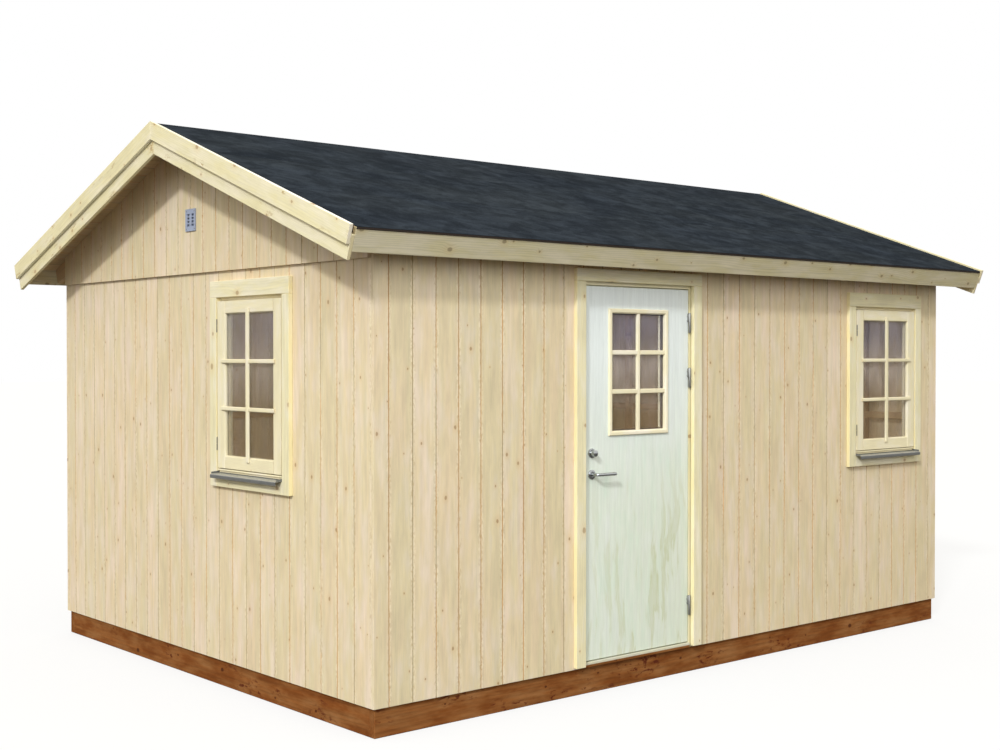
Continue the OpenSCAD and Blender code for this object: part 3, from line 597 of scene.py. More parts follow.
def door_finish(figure):
    """Primed veneer: upright streaks, paler above, with soft flame figures low in the middle."""
    n, shade = new_finish("door_paint")
    base, warm = tuple(colours().door), tuple(colours().door_figure)
    grain = n.attribute("grain", "Vector")
    across, depth, height = n.split(grain)
    f = n.group(figure, Grain=grain, Knot_Share=0.0)
    colour = n.ramp(f["Drift"], [
        (0.25, times(base, (0.93, 0.99, 0.96))), (0.5, base), (0.75, times(base, (1.03, 1.01, 1.06)))])
    colour = n.mix(n.span(height, 0.75, 1.75), colour, times(base, (1.06, 1.05, 1.18)))
    light = n.total(n.swing(f["Streak"], 0.36, 1.0), n.swing(f["Fibre"], 0.10))
    colour = n.vector("SCALE", colour, light)
    # Flames: the outlines and hearts of a stretched noise, stronger below and towards the hinges
    bend = n.swing(n.noise(grain, (3.0, 3.0, 2.2)), 0.12)
    place = n.join(n.total(across, bend), depth, height)
    peak = n.noise(place, (16.0, 16.0, 2.1), detail=4.0, rough=0.6)
    outline = n.span(n.math("ABSOLUTE", n.math("SUBTRACT", peak, 0.60)), 0.06, 0.0)
    flame = n.total(n.product(outline, 0.40), n.product(n.span(peak, 0.44, 0.76), 0.60))
    flame = n.product(flame, n.span(across, -0.40, 0.05, 0.50, 1.0))
    flame = n.product(flame, n.span(f["Streak"], 0.25, 0.62, 0.35, 1.0))
    low = n.span(height, 1.22, 0.50)
    flame = n.product(flame, n.math("MULTIPLY_ADD", low, 0.80, 0.07))
    wash = n.product(low, n.span(across, -0.55, 0.45), 0.13)
    n.feed(shade["Base Color"], n.mix(n.total(flame, wash), colour, warm))
    n.feed(shade["Roughness"], n.swing(f["Streak"], 0.2, 0.5))
    n.bump(shade, f["Fibre"], 0.12, 0.0004)


def felt_finish(speck):
    """Mineral felt with fine granules and soft clouds, and the bitumen of its edges."""
    n, shade = new_finish("felt")
    base = tuple(colours().felt)
    grain = n.attribute("grain", "Vector")
    f = n.group(speck, Grain=grain, Size=0.0045)
    cloud = n.noise(grain, (7.5, 7.5, 5.6), detail=6.0, rough=0.70, distort=0.4)
    cloud = n.math("MULTIPLY_ADD", n.span(cloud, 0.34, 0.76), 0.85, 0.74)
    wide = n.noise(grain, (2.4, 2.4, 1.8))
    light = n.total(cloud, n.total(n.swing(f["Speck"], 1.2), n.swing(wide, 0.4)))
    colour = n.ramp(n.swing(wide, 1.2, 0.5), [
        (0.3, times(base, (0.96, 0.97, 1.02))), (0.7, times(base, (1.01, 0.99, 0.97)))])
    n.feed(shade["Base Color"], n.vector("SCALE", colour, n.math("MAXIMUM", light, 0.25)))
    n.feed(shade["Roughness"], n.swing(f["Speck"], 0.2, 0.9))
    shade["Specular IOR Level"].default_value = 0.0
    n.bump(shade, f["Speck"], 0.5, 0.0012)
    n, shade = new_finish("felt_edge")
    f = n.group(speck, Grain=n.attribute("grain", "Vector"), Size=0.004)
    n.feed(shade["Base Color"], n.vector("SCALE", tuple(colours().felt_edge), n.swing(f["Speck"], 1.0, 1.0)))
    n.feed(shade["Roughness"], n.swing(f["Blotch"], 0.3, 0.6))


def metal_finish(name, base, speck, metallic, rough, brushed=1.0):
    """Brushed or coated metal, or moulded plastic, with faint rubbing and blotches."""
    n, shade = new_finish(name)
    grain = n.vector("MULTIPLY", n.attribute("grain", "Vector"), (1.0, 1.0, brushed))
    f = n.group(speck, Grain=grain, Size=0.0012)
    light = n.total(n.swing(f["Speck"], 0.16, 1.0), n.swing(f["Blotch"], 0.2))
    n.feed(shade["Base Color"], n.vector("SCALE", tuple(base), light))
    shade["Metallic"].default_value = metallic
    n.feed(shade["Roughness"], n.total(n.swing(f["Speck"], 0.18, rough), n.swing(f["Blotch"], 0.12)))
    n.bump(shade, f["Speck"], 0.08, 0.0002)


# Heights between which a pane's painted reflection changes, and its factors on the way up: brown below, a
# pale band, violet above
GLASS_LOW, GLASS_HIGH = 1.30, 2.10
GLASS_PAINTED_REFLECTION = (
    (0.16, (0.66, 0.54, 0.34)), (0.42, (1.02, 1.0, 0.92)),
    (0.62, (1.25, 1.25, 1.20)), (0.90, (0.66, 0.72, 0.98)))


def glass_finish(name, base, speck, cover):
    """Clear pane with a painted reflection over a share of what is behind, brown below and violet above, and
    a film that breaks up the gloss.
    """
    n, shade = new_finish(name)
    place = n.put("ShaderNodeTexCoord").outputs["Object"]
    f = n.group(speck, Grain=place, Size=0.012)
    height = n.total(n.split(place)[2], n.swing(f["Blotch"], 0.25))
    stops = [(at, times(base, factors)) for at, factors in GLASS_PAINTED_REFLECTION]
    # Painted reflection by height in the pane
    colour = n.ramp(n.span(height, GLASS_LOW, GLASS_HIGH), stops)
    smear = n.noise(place, (17.0, 17.0, 6.0), detail=3.0, rough=0.6)
    light = n.total(n.swing(f["Blotch"], 0.5, 1.0), n.swing(smear, 1.1))
    n.feed(shade["Base Color"], n.vector("SCALE", colour, light))
    n.feed(shade["Roughness"], n.swing(f["Blotch"], 0.06, 0.05))
    film = n.total(n.swing(f["Blotch"], 0.35 * cover, cover), n.swing(smear, 0.8 * cover))
    n.feed(shade["Alpha"], film)
    shade["Specular IOR Level"].default_value = 0.5


def make_finishes():
    c = colours()
    figure, speck = plank_figure(), fine_speck()
    wood("cladding", c.cladding, figure, streak=0.20, ring=0.03, tone=0.035, knot_share=0.72,
         knot_size=0.0062, mottle=0.10, fleck=0.8, blush=0.022)
    wood("groove", c.groove, figure, streak=0.4, ring=0.0, tone=0.12, knot_share=0.0, drift=0.6, rough=0.8,
         other=(0.42, 0.33, 0.19))
    wood("trim", c.trim, figure, streak=0.16, ring=0.06, ring_width=0.008, tone=0.02, knot_share=0.7,
         knot_size=0.010, knot_depth=0.6, mottle=0.09)
    # Narrow sides and ends of the casings: a lighter copy of the trim, a painted highlight
    wood("trim_painted_highlight", times(c.trim, (1.12, 1.09, 0.96)), figure, streak=0.12, ring=0.03, tone=0.02,
         knot_share=0.2, end=0.1)
    wood("verge", times(c.trim, (0.965, 0.955, 0.91)), figure, streak=0.16, ring=0.06, ring_width=0.008,
         tone=0.02, knot_share=0.7, knot_size=0.009, knot_gap=0.22, knot_depth=0.6, mottle=0.09,
         burl=times(c.trim, (0.60, 0.47, 0.30)), burl_rare=0.03)
    # Narrow sides and ends of the upper verge boards: a paler, bluer copy of the trim, a painted highlight
    wood("verge_painted_highlight", times(c.trim, (1.16, 1.2, 1.42)), figure, streak=0.10, ring=0.03, tone=0.02,
         knot_share=0.2, end=0.5)
    # Fascia: a darker copy of the trim, painted shade for its face that tilts down under the roof's edge
    wood("fascia", times(c.trim, (0.72, 0.70, 0.66)), figure, streak=0.18, ring=0.13, ring_width=0.010,
         tone=0.02, knot_share=0.8, knot_size=0.0085, knot_gap=0.17, knot=(0.15, 0.11, 0.06), knot_depth=0.6,
         mottle=0.14)
    wood("bead", times(c.joinery, (1.07, 1.08, 1.13)), figure, streak=0.08, ring=0.04, tone=0.02,
         knot_share=0.1)
    wood("joinery", c.joinery, figure, ring=0.05, tone=0.03, knot_size=0.006, knot_depth=0.6, rough=0.5)
    wood("door_frame", times(c.trim, (1.0, 1.0, 0.96)), figure, streak=0.06, ring=0.06, tone=0.02,
         knot_share=0.1)
    wood("threshold", times(c.door, (0.85, 0.77, 0.70)), figure, ring=0.06, tone=0.02, knot_share=0.1)
    wood("inner", c.inner, figure, streak=0.16, ring=0.14, tone=0.10, knot_share=0.4, knot_size=0.014,
         rough=0.75, bump=0.5)
    wood("roof_board", times(c.inner, (1.08, 1.12, 1.15)), figure, streak=0.12, ring=0.12, knot_share=0.4)
    wood("treated", c.treated, figure, streak=0.45, ring=0.12, ring_width=0.014, tone=0.04, knot_share=0.45,
         knot=(0.06, 0.016, 0.007), knot_depth=0.8, mottle=0.22, rough=0.8, gloss=0.08, bump=0.45, end=0.3,
         hues=TREATED_HUES, burl=(0.105, 0.022, 0.008))
    door_finish(figure)
    felt_finish(speck)
    # Each pane takes its own lighter or darker copy of the painted reflection
    glass_finish("left_glass", times(c.glass, (0.80, 0.78, 0.75)), speck, cover=0.23)
    glass_finish("front_glass", times(c.glass, (1.30, 1.28, 1.22)), speck, cover=0.23)
    glass_finish("door_glass", times(c.glass, (1.40, 1.42, 1.42)), speck, cover=0.11)
    # Sill sheet: faces that look up or down take a much lighter copy, a painted reflection, and the nose, lip
    # and stops a darker copy, painted shade
    metal_finish("sill", times(c.sill, (0.82, 0.80, 0.78)), speck, metallic=0.0, rough=0.3)
    metal_finish("sill_top", times(c.sill, (2.3, 2.2, 2.0)), speck, metallic=0.0, rough=0.3)
    metal_finish("steel", c.steel, speck, metallic=1.0, rough=0.26, brushed=0.08)
    metal_finish("hinge", times(c.steel, (0.72, 0.70, 0.66)), speck, metallic=1.0, rough=0.55, brushed=0.08)
    metal_finish(
        "window_hinge", times(c.steel, (0.30, 0.29, 0.27)), speck, metallic=0.6, rough=0.5, brushed=0.08)
    metal_finish("spacer", (0.07, 0.055, 0.045), speck, metallic=0.0, rough=0.6)
    metal_finish("vent", c.vent, speck, metallic=0.0, rough=0.5)
    # A near-black look for the box behind the vent slots, the vent blades and the keyway: painted shade
    metal_finish("void_painted_shade", (0.09, 0.105, 0.15), speck, metallic=0.0, rough=0.9)


# Boards on walls and slopes

# Rounding of a board's edges at its back and at a wall's corner
BACK_ARRIS = 0.0015
CORNER_ARRIS = 0.0012
# Narrowest strip that is left at the end of a wall, and how far the torn edge of a corner board lies outside
LEAST_STRIP = 0.012
CORNER_OUTSIDE = 0.012


def edge_chain(at, side, thick, joint):
    """Section of a board's edge from its back to its face, and which of its sides lie in the joint."""
    if joint == "cut":
        return [(at, thick), (at, 0.0)], [False]
    if joint == "corner":
        return [(at, thick), (at, CORNER_ARRIS), (at + side * CORNER_ARRIS, 0.0)], [False, False]
    s = sizes()
    gap, chamfer, depth = s.groove_gap / 2, s.groove_chamfer, s.groove_depth
    points = [
        (at + side * BACK_ARRIS, thick), (at, thick - BACK_ARRIS), (at, depth), (at + side * gap, depth),
        (at + side * gap, chamfer), (at + side * (gap + chamfer), 0.0)]
    return points, [False, False, True, True, True]


def strip(maker, a, b, low, high, place, thick, joints, key, origin, axes, board=None):
    """One strip of a board from a to b. low and high give its ends at (u, depth)."""
    left, left_in = edge_chain(a, 1, thick, joints[0])
    right, right_in = edge_chain(b, -1, thick, joints[1])
    section = left + right[::-1]
    inside = left_in + [False] + right_in[::-1] + [False]
    verts = [place(u, d, low(u, d)) for u, d in section] + [place(u, d, high(u, d)) for u, d in section]
    slots = [0, 0] + [1 if flag else 0 for flag in inside]
    left, right = board or (a, b)
    left -= CORNER_OUTSIDE if joints[0] == "corner" else 0.0
    right += CORNER_OUTSIDE if joints[1] == "corner" else 0.0
    sides = [2 * (u - left) / (right - left) - 1 for u, d in section] * 2
    maker.add(verts, prism_faces(len(section)), *axes, key=key, slots=slots, origin=origin, sides=sides)


def level(height):
    """A square end for a strip."""
    return lambda u, d: height


def board_wall(maker, run, joints, bottom, top, holes, place, thick, axes, ends=("corner", "corner")):
    """Boards side by side over a run, cut round rectangular holes (u0, u1, low, high) and off at the top."""
    inner = [j for j in joints if run[0] + LEAST_STRIP < j < run[1] - LEAST_STRIP]
    edges = [run[0], *inner, run[1]]
    for a, b in zip(edges, edges[1:]):
        key = maker.key()
        sunk = maker.dice.uniform(0.0, sizes().warp)
        set_back = lambda u, d, t: place(u, d + sunk, t)
        origin = place((a + b) / 2, 0.0, 0.0)
        cuts = {a, b} | {c for h in holes for c in h[:2] if a < c < b}
        if top(a, 0) != top(b, 0) and a < 0 < b:
            cuts.add(0.0)
        cuts = sorted(cuts)
        for p, q in zip(cuts, cuts[1:]):
            spans = [(bottom, None)]
            for h in holes:
                if h[0] < q and h[1] > p:
                    low, high = spans.pop()
                    spans += [(low, h[2])] if h[2] > low else []
                    spans += [(h[3], high)] if h[3] < top(p, 0) else []
                    if not spans:
                        break
            kinds = (
                "cut" if p > a else ends[0] if p == run[0] else "joint",
                "cut" if q < b else ends[1] if q == run[1] else "joint")
            for low, high in spans:
                upper = top if high is None else level(high)
                strip(maker, p, q, level(low), upper, set_back, thick, kinds, key, origin, axes, (a, b))


def stepped(first, step, last):
    row = [first]
    while row[-1] + step < last:
        row.append(row[-1] + step)
    return row


def courses(start, end, step, least):
    """Boards side by side from start to end, the last one at least so wide: their edges and joints."""
    edges = [start, *(j for j in stepped(start + step, step, end) if j < end - least), end]
    for i, (a, b) in enumerate(zip(edges, edges[1:])):
        yield a, b, ("cut" if i == 0 else "joint", "cut" if i == len(edges) - 2 else "joint")


def hole_of(node, axis):
    low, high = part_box(node)
    return low[axis], high[axis], low.z, high.z


def build_cladding():
    s = sizes()
    slope = math.tan(s.pitch)
    front_joints = stepped(-HALF_L + s.front_first, s.front_board, HALF_L)
    end_joints = stepped(-HALF_W + CLAD_T + s.end_board, s.end_board, HALF_W)
    looks = ["cladding", "groove"]
    back_low, back_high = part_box("back_wall")
    under_roof = lambda u, d: back_high.z - (CLAD_T - d) * slope
    front = lambda u, d, t: Vector((u, -HALF_W + d, t))
    window = hole_of("front_window_frame", 0)
    walls = (("front_wall_left", []), ("front_wall_over_door", []), ("front_wall_right", [window]))
    for node, holes in walls:
        low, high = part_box(node)
        maker = Maker(node)
        ends = (
            "corner" if low.x <= -HALF_L + WELD else "cut", "corner" if high.x >= HALF_L - WELD else "cut")
        board_wall(
            maker, (low.x, high.x), front_joints, low.z, under_roof, holes, front, CLAD_T, (Z, -Y), ends)
        maker.piece(node + "_boards", "shed", "cladding", looks, node)
    maker = Maker("back_wall")
    back = lambda u, d, t: Vector((-u, HALF_W - d, t))
    board_wall(maker, (-HALF_L, HALF_L), front_joints, back_low.z, under_roof, [], back, CLAD_T, (Z, Y))
    maker.piece("back_wall_boards", "shed", "cladding", looks, "back_wall")
    # Gable walls, and the upper panels that are cut round the ridge beam and behind the vents
    beam_low, beam_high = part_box("ridge_beam")
    sky_high = 99.0
    beam_notch = (-beam_high.y, beam_high.y, beam_low.z, sky_high)
    vent_low, vent_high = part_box("gable_vents")
    rim = 0.014
    vent_hole = (vent_low.y + rim, vent_high.y - rim, vent_low.z + rim, vent_high.z - rim)
    for side, name in ((-1, "left"), (1, "right")):
        axes = (Z, side * X)
        low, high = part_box(name + "_wall")
        maker = Maker(name + "_wall")
        place = lambda u, d, t: Vector((side * (HALF_L - d), u, t))
        holes = [hole_of("left_window_frame", 1)] if name == "left" else []
        board_wall(
            maker, (low.y, high.y), end_joints, low.z, level(high.z), holes, place, CLAD_T, axes,
            ("cut", "cut"))
        maker.piece(name + "_wall_boards", "shed", "cladding", looks, name + "_wall")
        low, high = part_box(name + "_gable")
        maker = Maker(name + "_gable")
        outer = max(abs(low.x), abs(high.x))
        peak = high.z + beam_high.y * slope
        place = lambda u, d, t: Vector((side * (outer - d), u, t))
        board_wall(
            maker, (low.y, high.y), end_joints, low.z, lambda u, d: peak - abs(u) * slope,
            [vent_hole, beam_notch], place, high.x - low.x, axes)
        maker.piece(name + "_gable_boards", "shed", "cladding", looks, name + "_gable")


# Foundation, frames and floor


def build_foundation():
    for node in ("foundation_long_beams", "foundation_short_beams", "floor_joists"):
        dress(node, "treated_timber", "treated", arris=0.003)


def build_frames():
    for node in (
            "long_wall_studs", "short_wall_studs", "long_wall_plates", "short_wall_plates", "gable_studs",
            "ridge_beam", "front_rafters", "back_rafters", "eave_blocks"):
        dress(node, "inner_timber", "inner")


def build_floor():
    """Floor boards along the building, notched round the door frame."""
    low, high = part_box("floor_boards")
    frame_low, frame_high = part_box("door_frame")
    gap, least = 0.0005, 0.02
    notch_left, notch_right, notch_y = frame_low.x - gap, frame_high.x + gap, frame_high.y + gap
    place = lambda u, d, t: Vector((t, u, high.z - d))
    maker = Maker("floor_boards")
    for a, b, kinds in courses(low.y, high.y, sizes().floor_board, least):
        key = maker.key()
        origin = place((a + b) / 2, 0.0, 0.0)
        cuts = sorted({a, b} | ({notch_y} if a < notch_y < b else set()))
        for p, q in zip(cuts, cuts[1:]):
            notched = q <= notch_y + WELD
            runs = [(low.x, notch_left), (notch_right, high.x)] if notched else [(low.x, high.x)]
            ends = (kinds[0] if p == a else "cut", kinds[1] if q == b else "cut")
            for x0, x1 in runs:
                strip(maker, p, q, level(x0), level(x1), place, high.z - low.z, ends, key, origin, (X, Z))
    maker.piece("floor_boards_timber", "shed", "inner_timber", ["inner", "groove"], "floor_boards")


# Roof

# Thickness of the felt, and the play between it and the boards
FELT_T = 0.003
FELT_SEAT = 0.0001
# Lap of a sheet under the one above, how far its face stands up, dips under the lap and ripples, and its foot
FELT_LAP = 0.07
FELT_RISE = 0.0012
FELT_DIP = 0.0014
FELT_RIPPLE = 0.0003
FELT_FOOT = 0.0016
FELT_CELLS, FELT_ROWS = 44, 12
# Nails: height above a sheet's foot, how far they stray along and across, and a head's profile
NAIL_UP = 0.022
NAIL_STRAY, NAIL_STRAY_UP = 0.012, 0.003
NAIL_HEAD = [(0.0, 0.0055), (0.0007, 0.005), (0.0011, 0.003), (0.0012, 0.0)]


def slope_place(side, ridge):
    """place(s, d, x) on the front (-1) or back (1) slope: s down from the ridge, d below the felt's face."""
    run, rise = math.cos(sizes().pitch), math.sin(sizes().pitch)

    def place(s, d, x):
        return Vector((x, side * max(0.0, s * run - d * rise), ridge - s * rise - d * run))

    return place


def build_roof():
    s = sizes()
    run, rise = math.cos(s.pitch), math.sin(s.pitch)
    felt_low, felt_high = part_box("front_roof_felt")
    deck_low, deck_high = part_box("front_roof_boards")
    deck_x = deck_high.x
    deck_t = (deck_high.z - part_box("ridge_beam")[1].z) * run
    deck_s = (-deck_low.y + FELT_T * rise) / run
    least = 0.03
    for side, name in ((-1, "front"), (1, "back")):
        out = Vector((0, side * rise, run))
        on_slope = slope_place(side, felt_high.z)
        under = lambda u, d, t: on_slope(u, FELT_T + deck_t - d, t)
        node = name + "_roof_boards"
        maker = Maker(node)
        for a, b, kinds in courses(0.0, deck_s, s.roof_board, least):
            origin = under((a + b) / 2, 0.0, 0.0)
            strip(maker, a, b, level(-deck_x), level(deck_x), under, deck_t - FELT_SEAT, kinds, maker.key(),
                  origin, (X, -out))
        maker.piece(node + "_timber", "shed", "inner_timber", ["roof_board", "groove"], node)
        build_felt(name, on_slope, out, -felt_low.y / run, deck_x)


def felt_sheet(maker, i, top, foot, on_slope, out, deck_x):
    """One sheet of felt across the roof. Its head lies under the sheet above, so its face dips there."""
    key = maker.key()
    xs = [deck_x * (2 * k / FELT_CELLS - 1) for k in range(FELT_CELLS + 1)]
    rows = [top + (foot - top) * k / FELT_ROWS for k in range(FELT_ROWS + 1)]
    verts, faces = [], []
    for r in rows:
        under = 0.0 if i == 0 else max(0.0, 1.0 - (r - top) / FELT_LAP)
        for x in xs:
            ripple = FELT_RIPPLE * math.sin(3.1 * x + 5.0 * r + 1.7 * i) * math.sin(1.3 * x - 7.0 * r)
            verts.append(on_slope(r, -FELT_RISE + (FELT_RISE + FELT_DIP) * under + ripple, x))
    back = len(verts)
    verts += [on_slope(r, FELT_T - FELT_SEAT if r < foot else FELT_FOOT, x) for r in rows for x in xs]
    w, h = len(xs), len(rows)
    for j, k in itertools.product(range(h - 1), range(w - 1)):
        q = j * w + k
        faces.append((q, q + 1, q + w + 1, q + w))
        faces.append((back + q, back + q + w, back + q + w + 1, back + q + 1))
    rim = list(range(w)) + [j * w + w - 1 for j in range(1, h)]
    rim += [(h - 1) * w + k for k in range(w - 2, -1, -1)] + [j * w for j in range(h - 2, 0, -1)]
    faces += [(a, b, back + b, back + a) for a, b in zip(rim, rim[1:] + rim[:1])]
    maker.add(verts, faces, X, out, key=key, origin=on_slope(foot, 0.0, 0.0))


def build_felt(name, on_slope, out, eave_s, deck_x):
    """Sheets of felt lapped down the slope, nails along the laps, and turned-down edges."""
    s = sizes()
    maker = Maker(name + "_felt")
    stray = maker.dice.uniform
    count = max(1, round(eave_s / s.felt_sheet))
    wide = eave_s / count
    nails = int(2 * deck_x / s.felt_nail_gap)
    for i in range(count):
        foot = (i + 1) * wide
        felt_sheet(maker, i, max(0.0, i * wide - FELT_LAP), foot, on_slope, out, deck_x)
        for k in range(nails):
            x = -deck_x + (k + 0.5) * 2 * deck_x / nails + stray(-NAIL_STRAY, NAIL_STRAY)
            up = foot - NAIL_UP + stray(-NAIL_STRAY_UP, NAIL_STRAY_UP)
            maker.lathe(NAIL_HEAD, on_slope(up, -FELT_RISE, x), out, steps=8)
    # Edges turned down over the gable rafters, behind the upper verge boards; their dark bitumen look also
    # stands in as painted shade in the slot between the deck's end and the verge
    fold_t, fold, head, foot = 0.0012, 0.042, 0.03, eave_s - 0.026
    edge = [(head, 0.0), (foot, 0.0), (foot, fold), (head, fold)]
    for x0, x1 in ((-deck_x - fold_t, -deck_x), (deck_x, deck_x + fold_t)):
        maker.prism(edge, x0, x1, on_slope, 0.0, X, out, slots=1)
    # Hem over the fascia
    hem, proud, under = 0.012, -0.0006, 0.0028
    head, inner = eave_s - 0.02, eave_s - FELT_T + HAIR
    outline = [(head, proud), (eave_s, proud), (eave_s, hem), (inner, hem), (inner, under), (head, under)]
    maker.prism(outline, -deck_x, deck_x, on_slope, 0.0005, X, out, slots=1)
    maker.piece(name + "_felt_sheets", "shed", "felt", ["felt", "felt_edge"], name + "_roof_felt")


def build_trim():
    # The second look of the upper verge boards and of the casings is a painted highlight on their narrow
    # sides and ends
    for look, edge, nodes in (
            # The fascia's darker look is painted shade
            ("fascia", None, ("front_fascia", "back_fascia")),
            ("verge", None, ("front_lower_verge_boards", "back_lower_verge_boards")),
            ("verge", "verge_painted_highlight", ("front_upper_verge_boards", "back_upper_verge_boards")),
            ("trim", "trim_painted_highlight", ("left_window_casing", "front_window_casing", "door_casing"))):
        for node in nodes:
            dress(node, "trim", look, arris=0.0025, segments=2, edge=edge)


# Windows

# Rounding of the edges of frames and sashes, and of glazing bars
JOINERY_ARRIS = 0.001
BAR_ARRIS = 0.0006


def window_place(name):
    """Point in a window's own space, x along the wall, y into the building from the cladding and z up."""
    low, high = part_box(name + "_window_frame")
    middle = (low + high) / 2
    if name == "front":
        return lambda v: Vector((middle.x + v[0], -HALF_W + v[1], v[2]))
    return lambda v: Vector((-HALF_L + v[1], middle.y - v[0], v[2]))


def window_sizes(name):
    """Half width, low, high, near and far of a window's parts, from the frame."""
    across, inwards, face = (0, 1, -HALF_W) if name == "front" else (1, 0, -HALF_L)
    found = {}
    for part in ("frame", "sash", "pane", "sill"):
        low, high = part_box(f"{name}_window_{part}")
        half = (high[across] - low[across]) / 2
        found[part] = (half, low.z, high.z, low[inwards] - face, high[inwards] - face)
    return found


def build_windows():
    for name in ("left", "front"):
        put = window_place(name)
        parts = window_sizes(name)
        build_window_frame(name, put, parts)
        build_window_sash(name, put, parts)
        build_sill(name, put, parts["sill"])
        build_window_hinges(name, put, parts["sash"])
        frame["nodes"][name + "_window_pane"].material_slots[0].material = finishes[name + "_glass"]


def build_window_frame(name, put, parts):
    """Jambs that run through, head and foot between them, and a nosing under the sash."""
    upright = lambda x, y, z: put((x, y, z))
    lying = lambda z, y, x: put((x, y, z))
    half, low, high, near, far = parts["frame"]
    sash_half, sash_low, sash_high, sash_near, sash_far = parts["sash"]
    gap, rebate, hair, touch = 0.003, 0.012, 0.0003, 0.0001
    hole = sash_half + gap
    stop = hole - rebate
    maker = Maker(name + "_window_frame")
    for side in (-1, 1):
        outline = [(side * half, near), (side * hole, near), (side * hole, sash_far), (side * stop, sash_far),
                   (side * stop, far), (side * half, far)]
        maker.prism(outline, low, high, upright, JOINERY_ARRIS)
    for end, inner, lip in ((high, sash_high + gap, -rebate), (low, sash_low - gap, rebate)):
        outline = [(end, near), (inner, near), (inner, sash_far), (inner + lip, sash_far), (inner + lip, far),
                   (end, far)]
        maker.prism(outline, hair - stop, stop - hair, lying, JOINERY_ARRIS)
        outline = [(end, near), (inner, near), (inner, sash_far - hair), (end, sash_far - hair)]
        for x0, x1 in ((hair - hole, touch - stop), (stop - touch, hole - hair)):
            maker.prism(outline, x0, x1, lying)
    # Nosing: a lip a little behind the sash's face, and a strip set back below it
    lip, back, play = sash_near + 0.002, sash_near + 0.013, 0.001
    head, step, foot = sash_low - play, sash_low - 0.009, sash_low - 0.0205
    outline = [(foot, near), (head, near), (head, lip), (step, lip), (step - play, back), (foot, back)]
    maker.prism(outline, play - hole, hole - play, lying, JOINERY_ARRIS)
    maker.piece(name + "_window_frame_timber", "shed", "joinery", ["joinery"], name + "_window_frame")


def build_window_sash(name, put, parts):
    """Stiles that run through, rails between them, a bevel round the glass, and bars on the outer face."""
    s = sizes()
    half, low, high, near, far = parts["sash"]
    pane_near, pane_far = parts["pane"][3:]
    stile, rail, lift = 0.079, 0.071, 0.004
    bevel_width, bevel_depth, groove = 0.006, 0.008, 0.011
    rail_inset, rail_lap = 0.0006, 0.0008
    low += lift
    glass = half - stile

    def section(outer, edge, away, inset):
        """Stile or rail from its outer side to its edge at the glass, away from which it is grooved."""
        deep = edge + away * groove
        return [
            (outer, near + inset), (edge + away * bevel_width, near + inset), (edge, near + bevel_depth),
            (edge, pane_near - HAIR), (deep, pane_near - HAIR), (deep, pane_far + HAIR),
            (edge, pane_far + HAIR), (edge, far - inset), (outer, far - inset)]

    maker = Maker(name + "_window_sash")
    for side in (-1, 1):
        outline = section(side * half, side * glass, side, 0.0)
        maker.prism(outline, low, high, lambda x, y, z: put((x, y, z)), JOINERY_ARRIS)
    for end, way in ((high, -1), (low, 1)):
        outline = section(end, end + way * rail, -way, rail_inset)
        reach = glass + rail_lap
        maker.prism(outline, -reach, reach, lambda z, y, x: put((x, y, z)), JOINERY_ARRIS)
    light = (-glass, glass, low + rail, high - rail)
    bars = (s.window_bar / 2, s.window_cross_bar / 2)
    glazing_bars(maker, put, light, s.window_bar_lap, bars, near, near - s.window_bar_t, 0.004)
    maker.piece(name + "_window_sash_timber", "shed", "joinery", ["joinery"], name + "_window_sash")


def glazing_bars(maker, put, light, lap, halves, foot, face, bevel):
    """An upright bar and two level ones over a light (x0, x1, low, high), from a foot out to a face."""
    x0, x1, low, high = light
    middle = (x0 + x1) / 2
    upright, cross = halves

    def section(half):
        return [(-half, foot), (-half, face + bevel), (bevel - half, face), (half - bevel, face),
                (half, face + bevel), (half, foot)]

    maker.prism(section(upright), low - lap, high + lap, lambda a, y, z: put((middle + a, y, z)), BAR_ARRIS)
    for k in (1, 2):
        height = low + (high - low) * k / 3
        for start, end in ((x0 - lap, middle - upright - HAIR), (middle + upright + HAIR, x1 + lap)):
            maker.prism(section(cross), start, end, lambda a, y, x: put((x, y, height + a)), BAR_ARRIS)


def build_sill(name, put, sill):
    """Folded sheet: upstand, fall, rounded nose and lip, with a folded stop at each end."""
    half, low, high, near, far = sill
    low, high = low - 0.004, high - 0.006
    t, stop_t, arris = 0.0025, 0.0015, 0.0003
    nose, back = near + 0.004, far - t
    front_top, back_top = low + 0.022, high - 0.004
    outline = [(far, high), (back, high), (back, back_top)]
    outline += [(nose, front_top), (near + 0.0015, front_top - 0.0012), (near, front_top - 0.0045)]
    outline += [(near, low + 0.003), (near + 0.005, low), (near + 0.007, low + 0.0016)]
    outline += [(near + t, low + 0.004), (near + t, front_top - t - 0.002)]
    outline += [(near + 0.005, front_top - t - 0.0002), (far, back_top - t)]
    lying = lambda y, z, x: put((x, y, z))
    node = name + "_window_sill"
    maker = Maker(node)
    # Faces that look up or down take the first look, a painted reflection; the nose, lip and ends take the
    # darker second look, painted shade
    maker.prism(outline, -half, half, lying, arris, face=Z, sided=True)
    stop_back, stop_front, up, stop_h = far - 0.006, nose + 0.004, 0.001, 0.012
    stop = [(stop_back, back_top + up), (stop_front, front_top + up), (stop_front, front_top + stop_h),
            (stop_back, back_top + stop_h)]
    for side in (-1, 1):
        x0, x1 = sorted((side * half, side * (half - stop_t)))
        maker.prism(stop, x0, x1, lying, arris, slots=1)
    maker.piece(node + "_sheet", "shed", "sill_metal", ["sill_top", "sill"], node)


